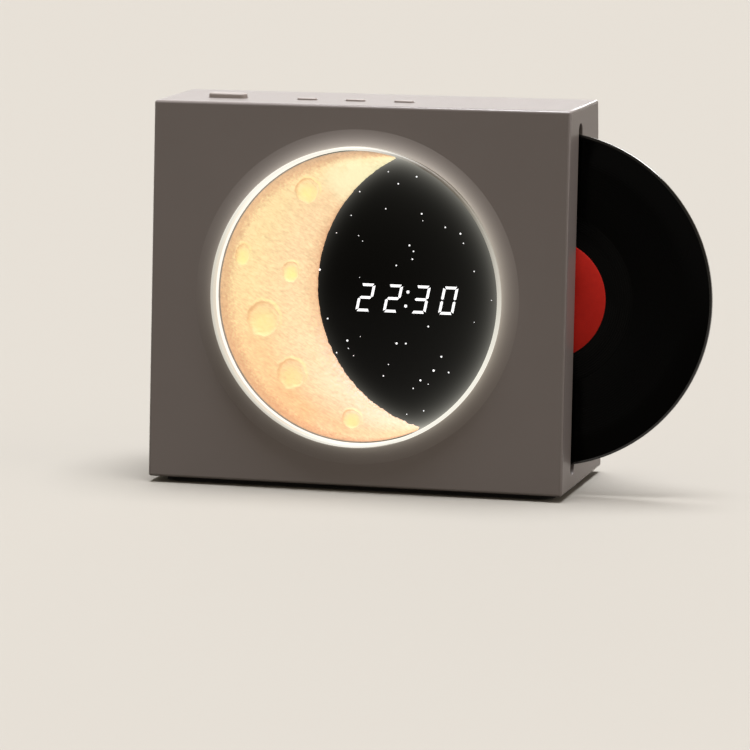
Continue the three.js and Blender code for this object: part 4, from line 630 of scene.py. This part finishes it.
# Cast resin: matt and grainy, with a warm glow that fades with painted shade to a dull violet along the rim
# and to pink along the terminator
resin, tree, shader = finish("cast_resin", Roughness=0.6, IOR=1.5)
place = add(tree, "ShaderNodeTexCoord").outputs["Object"]
chart = add(tree, "ShaderNodeUVMap", uv_map="crescent")
lie = add(tree, "ShaderNodeSeparateXYZ", {0: chart.outputs[0]})
drift = add(tree, "ShaderNodeTexNoise", {"Vector": place, "Scale": 1 / (11 * MM), "Detail": 5.0,
                                         "Roughness": 0.6})
grain = add(tree, "ShaderNodeTexNoise", {"Vector": place, "Scale": 1 / (1.1 * MM), "Detail": 4.0,
                                         "Roughness": 0.75})
wander = add(tree, "ShaderNodeMath", {0: drift.outputs["Fac"], 1: 0.2, 2: lie.outputs["X"]},
             operation="MULTIPLY_ADD")
thick = add(tree, "ShaderNodeValToRGB", {"Fac": wander.outputs[0]})
thick.color_ramp.elements[0].color = linear("#fde4b4")
thick.color_ramp.elements[1].color = linear("#ffd6ac")
thick.color_ramp.elements.new(0.52).color = linear("#ffe6ac")
thick.color_ramp.elements.new(0.84).color = linear("#fdca95")
pale = add(tree, "ShaderNodeValToRGB", {"Fac": wander.outputs[0]})
pale.color_ramp.elements[0].color = linear("#fff9ca")
pale.color_ramp.elements[0].position = 0.18
pale.color_ramp.elements[1].color = linear("#ffeece")
pale.color_ramp.elements.new(0.33).color = linear("#ffdfb0")
pale.color_ramp.elements.new(0.66).color = linear("#ffe2b2")
over = add(tree, "ShaderNodeMapRange", {"Value": lie.outputs["Y"], 1: 0.40, 2: 0.66})
body = add(tree, "ShaderNodeMix", {0: over.outputs[0], 6: thick.outputs[0], 7: pale.outputs[0]},
           data_type="RGBA")
# Painted shade where the dome falls away: dull violet at the rim, wider at its upper left, and pink at the
# terminator
reach = add(tree, "ShaderNodeMapRange", {"Value": lie.outputs["X"], 1: 0.05, 2: 0.30, 3: -0.20, 4: -0.02})
reach = add(tree, "ShaderNodeMath", {0: lie.outputs["Y"], 1: reach.outputs[0]})
fray = add(tree, "ShaderNodeMath", {0: grain.outputs["Fac"], 1: 0.30, 2: reach.outputs[0]},
           operation="MULTIPLY_ADD")
fray = add(tree, "ShaderNodeMath", {0: fray.outputs[0], 1: 1.2}, operation="DIVIDE")
span = add(tree, "ShaderNodeValToRGB", {"Fac": fray.outputs[0]})
span.color_ramp.elements[0].color = linear("#8a92b0")
span.color_ramp.elements[1].color = linear("#d4b2ae")
for at, code in ((0.12, "#a09cae"), (0.25, "#d2c2c6"), (0.34, "#ffffff"), (0.74, "#ffffff")):
    span.color_ramp.elements.new(at).color = linear(code)
glow = add(tree, "ShaderNodeMix", {0: 1.0, 6: body.outputs[2], 7: span.outputs[0]}, data_type="RGBA",
           blend_type="MULTIPLY")
laid_flat = flattened(tree, well_place)
combed = add(tree, "ShaderNodeMapping", {"Vector": laid_flat, "Rotation": (0, math.radians(28), 0),
                                         "Scale": (2.2, 1.0, 0.5)}, vector_type="TEXTURE")
strands = add(tree, "ShaderNodeTexNoise", {"Vector": combed.outputs[0], "Scale": 1.0, "Detail": 3.0})
fleck = add(tree, "ShaderNodeMapRange", {"Value": strands.outputs["Fac"], 1: 0.3, 2: 0.7, 3: 0.84, 4: 1.13})
worn = add(tree, "ShaderNodeAttribute", attribute_name="thin")
worn = add(tree, "ShaderNodeMapRange", {"Value": worn.outputs["Fac"], 1: 0.2, 2: 0.8, 3: 0.89, 4: 1.10})
fleck = add(tree, "ShaderNodeMath", {0: fleck.outputs[0], 1: worn.outputs[0]}, operation="MULTIPLY")
glow = add(tree, "ShaderNodeVectorMath", {0: glow.outputs[2], "Scale": fleck.outputs[0]}, operation="SCALE")
cloud = add(tree, "ShaderNodeTexNoise", {"Vector": place, "Scale": 1 / (7 * MM), "Detail": 4.0})
cloud = add(tree, "ShaderNodeMapRange", {"Value": cloud.outputs["Fac"], 1: 0.30, 2: 0.48})
above = add(tree, "ShaderNodeVectorMath", {0: laid_flat, 1: (-4, 3, 48)}, operation="DISTANCE")
above = add(tree, "ShaderNodeMapRange", {"Value": above.outputs["Value"], 1: 4.0, 2: 13.0, 3: 0.95, 4: 0.0})
within = add(tree, "ShaderNodeMapRange", {"Value": lie.outputs["Y"], 1: 0.26, 2: 0.46})
cloud = add(tree, "ShaderNodeMath", {0: cloud.outputs[0], 1: above.outputs[0]}, operation="MULTIPLY")
cloud = add(tree, "ShaderNodeMath", {0: cloud.outputs[0], 1: within.outputs[0]}, operation="MULTIPLY")
glow = add(tree, "ShaderNodeMix", {0: cloud.outputs[0], 6: glow.outputs[0], 7: linear("#fffbcc")},
           data_type="RGBA")
# Painted highlights: pale specks on the rough ground near the lower terminator
tail = add(tree, "ShaderNodeMapRange", {"Value": lie.outputs["X"], 1: 0.5, 2: 0.8})
hem = add(tree, "ShaderNodeMapRange", {"Value": lie.outputs["Y"], 1: 0.70, 2: 0.92})
hem = add(tree, "ShaderNodeMath", {0: hem.outputs[0], 1: tail.outputs[0]}, operation="MULTIPLY")
painted_specks = add(tree, "ShaderNodeMapRange", {"Value": grain.outputs["Fac"], 1: 0.45, 2: 0.58, 3: 0.0, 4: 0.85})
painted_specks = add(tree, "ShaderNodeMath", {0: painted_specks.outputs[0], 1: hem.outputs[0]}, operation="MULTIPLY")
glow = add(tree, "ShaderNodeMix", {0: painted_specks.outputs[0], 6: glow.outputs[2], 7: linear("#fff8ee")},
           data_type="RGBA")
# Painted shade inside the crater rims at the upper left
brow_shade = add(tree, "ShaderNodeAttribute", attribute_name="brow_painted_shade")
glow = add(tree, "ShaderNodeMix", {0: brow_shade.outputs["Fac"], 6: glow.outputs[2], 7: linear("#dca873")},
           data_type="RGBA")
# Pale crater beds, set low as painted light, and painted highlights on the ridges
deep = add(tree, "ShaderNodeAttribute", attribute_name="bed_glow_and_highlight")
glow = add(tree, "ShaderNodeMix", {0: deep.outputs["Fac"], 6: glow.outputs[2], 7: linear("#fffaa4")},
           data_type="RGBA")
tree.links.new(glow.outputs[2], shader.inputs["Emission Color"])
shader.inputs["Emission Strength"].default_value = 0.85
shader.inputs["Base Color"].default_value = linear("#c09870")
tooth = add(tree, "ShaderNodeTexNoise", {"Vector": place, "Scale": 1 / (0.6 * MM), "Detail": 4.0,
                                         "Roughness": 0.7})
bump = add(tree, "ShaderNodeBump", {"Height": tooth.outputs["Fac"], "Strength": 0.8, "Distance": 0.3 * MM})
tree.links.new(bump.outputs[0], shader.inputs["Normal"])
moon = new_object("moon_relief", relief, resin, smooth=70)
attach(moon, "case")
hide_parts("moon_lens")

# Record
# A pressed disc of black vinyl: raised rim, fine grooves between rim and label, and smooth bands
# between the tracks. It turns on the hub inside the case.
DISC_FRONT = 16.95
DISC_BACK = 18.95
DISC_RADIUS = 66.0
HOLE_RADIUS = 3.7
RIM_FROM = 65.2 * MM
GROOVE_PITCH = 0.9

# Pressed vinyl: near black, a shade greyer by the label. Real grooves are about 0.1 mm apart; they are drawn
# 0.9 mm apart to show
vinyl, tree, shader = finish("pressed_vinyl", Roughness=0.18, IOR=1.52)
shader.inputs["Specular IOR Level"].default_value = 0.04
spot = flattened(tree, record_place)
out = radius_of(tree, spot)
wave = add(tree, "ShaderNodeMath", {0: out, 1: math.tau / GROOVE_PITCH}, operation="MULTIPLY")
wave = add(tree, "ShaderNodeMath", {0: wave.outputs[0]}, operation="SINE")
near = add(tree, "ShaderNodeMapRange", {"Value": out, 1: 33.0, 2: 35.0, 3: 1.0, 4: 0.08})
wave = add(tree, "ShaderNodeMath", {0: wave.outputs[0], 1: near.outputs[0]}, operation="MULTIPLY")
bump = add(tree, "ShaderNodeBump", {"Height": wave.outputs[0], "Strength": 1.0, "Distance": 0.04 * MM})
tree.links.new(bump.outputs[0], shader.inputs["Normal"])
tone = add(tree, "ShaderNodeMix", {0: near.outputs[0], 6: linear("#010101"), 7: linear("#080808")},
           data_type="RGBA")
tree.links.new(tone.outputs[2], shader.inputs["Base Color"])
half = [
    (HOLE_RADIUS, 0), (25.3, 0), (25.8, 0.25), (29.9, 0.25), (30.2, 0.23), (30.8, 0.23), (31.1, 0.25),
    (33.9, 0.25), (34.2, 0.23), (34.8, 0.23), (35.1, 0.25), (44.0, 0.25), (54.0, 0.25), (64.1, 0.25),
    (64.6, 0.03), (65.1, 0), (65.7, 0.03), (65.92, 0.11), (65.99, 0.25), (DISC_RADIUS, 0.42),
]
DISC = [(r, DISC_FRONT + d) for r, d in half]
DISC.append((DISC_RADIUS, (DISC_FRONT + DISC_BACK) / 2))
DISC += [(r, DISC_BACK - d) for r, d in reversed(half)]
disc = new_object("vinyl_record", turned(DISC, 192, record_place, closed=True), vinyl)

# Trimmed edge of the same vinyl: glossier than the face, so it catches a thin glint
edge, tree, shader = finish("trimmed_vinyl", IOR=1.52)
shader.inputs["Base Color"].default_value = linear("#050505")
place = add(tree, "ShaderNodeTexCoord").outputs["Object"]
scuff = add(tree, "ShaderNodeTexNoise", {"Vector": place, "Scale": 1 / (2 * MM), "Detail": 3.0})
spread = add(tree, "ShaderNodeMapRange", {"Value": scuff.outputs["Fac"], 3: 0.12, 4: 0.22})
tree.links.new(spread.outputs[0], shader.inputs["Roughness"])
disc.data.materials.append(edge)
for face in disc.data.polygons:
    if (record_place.inverted() @ face.center).xz.length > RIM_FROM:
        face.material_index = 1
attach(disc, "disc")
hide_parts("record")

# Record labels
# Round labels of plain red paper, matt with faint fibres, one on each side of the disc.
# They are pressed on its middle with the vinyl and turn with it.
LABEL_RADIUS = 23.7
paper, tree, shader = finish("label_paper", Roughness=0.6)
shader.inputs["Specular IOR Level"].default_value = 0.2
place = add(tree, "ShaderNodeTexCoord").outputs["Object"]
fibre = add(tree, "ShaderNodeTexNoise", {"Vector": place, "Scale": 1 / (2.0 * MM), "Detail": 5.0,
                                         "Roughness": 0.7})
ramp = add(tree, "ShaderNodeValToRGB", {"Fac": fibre.outputs["Fac"]})
ramp.color_ramp.elements[0].color = linear("#cf251c")
ramp.color_ramp.elements[0].position = 0.3
ramp.color_ramp.elements[1].color = linear("#da2a1e")
ramp.color_ramp.elements[1].position = 0.7
tree.links.new(ramp.outputs[0], shader.inputs["Base Color"])
bump = add(tree, "ShaderNodeBump", {"Height": fibre.outputs["Fac"], "Strength": 0.15, "Distance": 0.05 * MM})
tree.links.new(bump.outputs[0], shader.inputs["Normal"])
for name, surface, base in (("label_front", 16.6, 16.85), ("label_rear", 19.3, 19.05)):
    step = (base - surface) * 0.4
    SHEET = [
        (HOLE_RADIUS, base), (HOLE_RADIUS, surface), (14.0, surface), (23.4, surface),
        (23.65, surface + step), (LABEL_RADIUS, base),
    ]
    sheet = new_object("paper_" + name, turned(SHEET, 128, record_place, closed=True), paper, smooth=30)
    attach(sheet, "disc")
    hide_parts(name)

# Rear cover
# A flat ABS moulding in the case's colour that drops in between the walls, with a slotted grille for the
# speaker and openings for the supply inlet and the power switch. Its outer edges are lightly rounded.
cover_abs = moulded("taupe_abs_cover", ("#776d68", "#7d726d"), 0.56, 0.08)
COVER_FACE = -0.5 * MM
COVER_EDGE = 0.35 * MM
tuck = math.atan2(REAR_SETBACK, CASE_HEIGHT)
rear_place = Matrix.Translation((0, BASE_DEPTH / 2, PAD_THICKNESS)) @ Matrix.Rotation(tuck, 4, "X")
plate = bmesh.new()
plate.from_mesh(cad["rear_cover"].data)
bmesh.ops.remove_doubles(plate, verts=plate.verts, dist=0.001 * MM)
bmesh.ops.dissolve_limit(plate, angle_limit=math.radians(0.5), verts=plate.verts[:], edges=plate.edges[:])
from_rear = rear_place.inverted()


# Whether a point lies on the flat outer face of the cover
def on_face(spot):
    return abs((from_rear @ spot).y - COVER_FACE) < 0.01 * MM


rims = [e for e in plate.edges if all(on_face(v.co) for v in e.verts) and e.calc_face_angle(0) > 0.9]
bmesh.ops.bevel(plate, geom=rims, offset=COVER_EDGE, offset_type="OFFSET", segments=3, profile=0.5,
                affect="EDGES", material=-1)

# The flat face is filled afresh, so that no long thin facet is left on it
skin = [f for f in plate.faces if all(on_face(v.co) for v in f.verts)]
bmesh.ops.delete(plate, geom=skin, context="FACES")
bmesh.ops.triangle_fill(plate, edges=[e for e in plate.edges if e.is_boundary], use_beauty=True)
cover = new_object("cover_plate", plate, cover_abs, smooth=12)
for face in cover.data.polygons:
    face.use_smooth = not on_face(face.center)
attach(cover, "case")
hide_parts("rear_cover")

# Rear screws
# Four pan-head screws of zinc-plated steel in the corner pockets of the cover, with a cross recess pressed
# in each head. The plating is bright and a little uneven.
RECESS_ARM = 1.4
RECESS_HALF = 0.28
RECESS_TOP = 0.3
RECESS_DEPTH = 1.3
RECESS_EDGE = 0.04 * MM
steel, tree, shader = finish("plated_steel", Metallic=1.0)
place = add(tree, "ShaderNodeTexCoord").outputs["Object"]
brush = add(tree, "ShaderNodeTexNoise", {"Vector": place, "Scale": 1 / (1.2 * MM), "Detail": 4.0})
spread = add(tree, "ShaderNodeMapRange", {"Value": brush.outputs["Fac"], 3: 0.24, 4: 0.42})
tree.links.new(spread.outputs[0], shader.inputs["Roughness"])
ramp = add(tree, "ShaderNodeValToRGB", {"Fac": brush.outputs["Fac"]})
ramp.color_ramp.elements[0].color = linear("#a4a6a8")
ramp.color_ramp.elements[1].color = linear("#bfc1c3")
tree.links.new(ramp.outputs[0], shader.inputs["Base Color"])
PAN_HEAD = [
    (0, -0.62), (1.2, -0.68), (1.9, -0.85), (2.35, -1.2), (2.5, -1.6), (2.5, -2.1), (1.2, -2.1),
    (1.2, -9.9), (0, -11.1),
]

# Place across and up, and turn of the recess in degrees
SCREWS = {1: (-77.9, 6.0, 20), 2: (77.9, 6.0, 65), 3: (-77.9, 144.7, 5), 4: (77.9, 144.7, 38)}
for number, (x, up, turn) in SCREWS.items():
    seat = rear_place @ Matrix.Translation((x * MM, 0, up * MM))
    seat = seat @ Matrix.Rotation(math.radians(turn), 4, "Y")
    screw = new_object("screw_%d" % number, turned(PAN_HEAD, 32, seat), steel)
    recess = bmesh.new()
    quarter = [(RECESS_ARM, -RECESS_HALF), (RECESS_ARM, RECESS_HALF), (RECESS_HALF, RECESS_HALF)]
    corners = []
    for _ in range(4):
        corners += [recess.verts.new((p * MM, -RECESS_TOP * MM, q * MM)) for p, q in quarter]
        quarter = [(-q, p) for p, q in quarter]
    mouth = recess.faces.new(corners)
    grown = bmesh.ops.extrude_face_region(recess, geom=[mouth])["geom"]
    point = [v for v in grown if isinstance(v, bmesh.types.BMVert)]
    bmesh.ops.scale(recess, verts=point, vec=(0.55, 1, 0.55))
    bmesh.ops.translate(recess, verts=point, vec=(0, -RECESS_DEPTH * MM, 0))
    bmesh.ops.transform(recess, verts=recess.verts, matrix=seat)
    cut(screw, recess, RECESS_EDGE)
    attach(screw, "case")
    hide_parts("rear_screw_%d" % number)

# Supply inlet
# A drawn shell of plated steel with a rounded mouth just inside the cover, and a dark tongue that carries
# the contacts in the middle of it.
INLET_X = 15 * MM
INLET_UP = 24 * MM
INLET_EDGE = 0.1 * MM
BLADE_EDGE = 0.15 * MM
outward = Matrix.Rotation(math.radians(-90), 4, "X")


# A place on the inlet's axis, so many millimetres behind the cover
def inlet_place(deep):
    return rear_place @ Matrix.Translation((INLET_X, -deep * MM, INLET_UP))


socket = bmesh.new()
pill(socket, 9 * MM, 3.4 * MM, 10.1 * MM, inlet_place(11) @ outward)
inlet = new_object("inlet_shell", socket, steel)
hollow = bmesh.new()
pill(hollow, 8.2 * MM, 2.6 * MM, 8 * MM, inlet_place(6.9) @ outward)
cut(inlet, hollow, INLET_EDGE)
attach(inlet, "case")
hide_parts("supply_inlet")
black_abs = moulded("black_abs", ("#161617", "#1d1d1e"), 0.5)
blade = bmesh.new()
blade_size = Matrix.Diagonal((5.6 * MM, 5.6 * MM, 0.7 * MM, 1))
bmesh.ops.create_cube(blade, size=1, matrix=inlet_place(4.5) @ blade_size)
bmesh.ops.bevel(blade, geom=blade.edges[:], offset=BLADE_EDGE, offset_type="OFFSET", segments=2,
                profile=0.5, affect="EDGES", material=-1)
tongue = new_object("inlet_tongue", blade, black_abs)
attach(tongue, "case")

# Power switch knob
# A small slider of black ABS with ribs for a fingernail, flush with the cover in its opening. It slides
# 2 mm in the switch behind.
KNOB_LEFT = 32.8
KNOB_RIGHT = 35.2
KNOB_LOW = 23.1
KNOB_HEIGHT = 1.8
KNOB_FOOT = -8.45
KNOB_EDGE = 0.07 * MM
RIB_COUNT = 4
RIB_PITCH = 0.68
RIB_WIDTH = 0.36
RIB_TOP = -0.6
RIB_ROOT = -1.05
comb = [(KNOB_LEFT, KNOB_FOOT), (KNOB_RIGHT, KNOB_FOOT)]
for rib in range(RIB_COUNT):
    side = KNOB_RIGHT - RIB_PITCH * rib
    comb += [(side, RIB_TOP), (side - RIB_WIDTH, RIB_TOP)]
    if rib < RIB_COUNT - 1:
        comb += [(side - RIB_WIDTH, RIB_ROOT), (side - RIB_PITCH, RIB_ROOT)]
slider = bmesh.new()
face = slider.faces.new([slider.verts.new((x * MM, y * MM, KNOB_LOW * MM)) for x, y in comb])
grown = bmesh.ops.extrude_face_region(slider, geom=[face])["geom"]
risen = [v for v in grown if isinstance(v, bmesh.types.BMVert)]
bmesh.ops.translate(slider, verts=risen, vec=(0, 0, KNOB_HEIGHT * MM))
bmesh.ops.bevel(slider, geom=slider.edges[:], offset=KNOB_EDGE, offset_type="OFFSET", segments=2,
                profile=0.5, affect="EDGES", material=-1)
bmesh.ops.transform(slider, verts=slider.verts, matrix=rear_place)
knob = new_object("switch_slider", slider, black_abs)
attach(knob, "power_knob")
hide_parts("switch_knob")

# Base pad
# A thin dark rubber sheet, cut to shape and stuck under the base, that lifts the case off the table.
# The speaker's gasket and surround are of the same rubber.
rubber = moulded("pad_rubber", ("#171513", "#1f1c1a"), 0.85, 0.2)


# CAD solids that keep their shape and only get a material
def dress(material, *names):
    for name in names:
        cad[name].data.materials.clear()
        cad[name].data.materials.append(material)


dress(rubber, "base_pad", "speaker_gasket", "speaker_surround")

# Metal pieces inside
# Plated steel cans, bracket, plungers and screws, and the hub, cap and gearbox of turned brass.
# They are screwed or pressed together inside the case, behind the record.
dress(steel, "motor_can", "motor_shaft", "motor_bracket", "speaker_magnet",
      "carrier_screw_1", "carrier_screw_2", "carrier_screw_3", "bracket_screw_1", "bracket_screw_2",
      "speaker_screw_1", "speaker_screw_2", "speaker_screw_3", "speaker_screw_4",
      "tact_plunger_1", "tact_plunger_2", "tact_plunger_3", "tact_plunger_4")

# Turned brass: yellow, with fine uneven tool marks
brass, tree, shader = finish("turned_brass", Metallic=1.0)
place = add(tree, "ShaderNodeTexCoord").outputs["Object"]
brush = add(tree, "ShaderNodeTexNoise", {"Vector": place, "Scale": 1 / (0.8 * MM), "Detail": 3.0})
spread = add(tree, "ShaderNodeMapRange", {"Value": brush.outputs["Fac"], 3: 0.26, 4: 0.4})
tree.links.new(spread.outputs[0], shader.inputs["Roughness"])
shader.inputs["Base Color"].default_value = linear("#b08d4a")
dress(brass, "record_hub", "hub_cap", "gearbox")

# Inner pieces
# Black mouldings, green circuit boards, the paper speaker cone, the sleeved cell, and the leads and
# ribbons between them, all inside the case.
dress(black_abs, "light_baffle", "display_carrier", "switch_body",
      "tact_switch_1", "tact_switch_2", "tact_switch_3", "tact_switch_4")
board = moulded("solder_mask", ("#17492f", "#1f5a3a"), 0.4)
dress(board, "light_board", "main_board", "button_board")
pulp = moulded("pressed_pulp", ("#191919", "#232323"), 0.85, 0.4)
dress(pulp, "speaker_cone", "speaker_basket")
sleeve = moulded("shrink_sleeve", ("#2a5582", "#2f5f8f"), 0.35)
dress(sleeve, "battery_cell")
red_sleeve = moulded("lead_sleeve", ("#8f2620", "#a02a22"), 0.5)
dress(red_sleeve, "battery_lead", "speaker_lead", "motor_lead")
flat_cable = moulded("ribbon_sleeve", ("#cfcac1", "#dbd7cf"), 0.5)
dress(flat_cable, "display_ribbon", "button_ribbon")
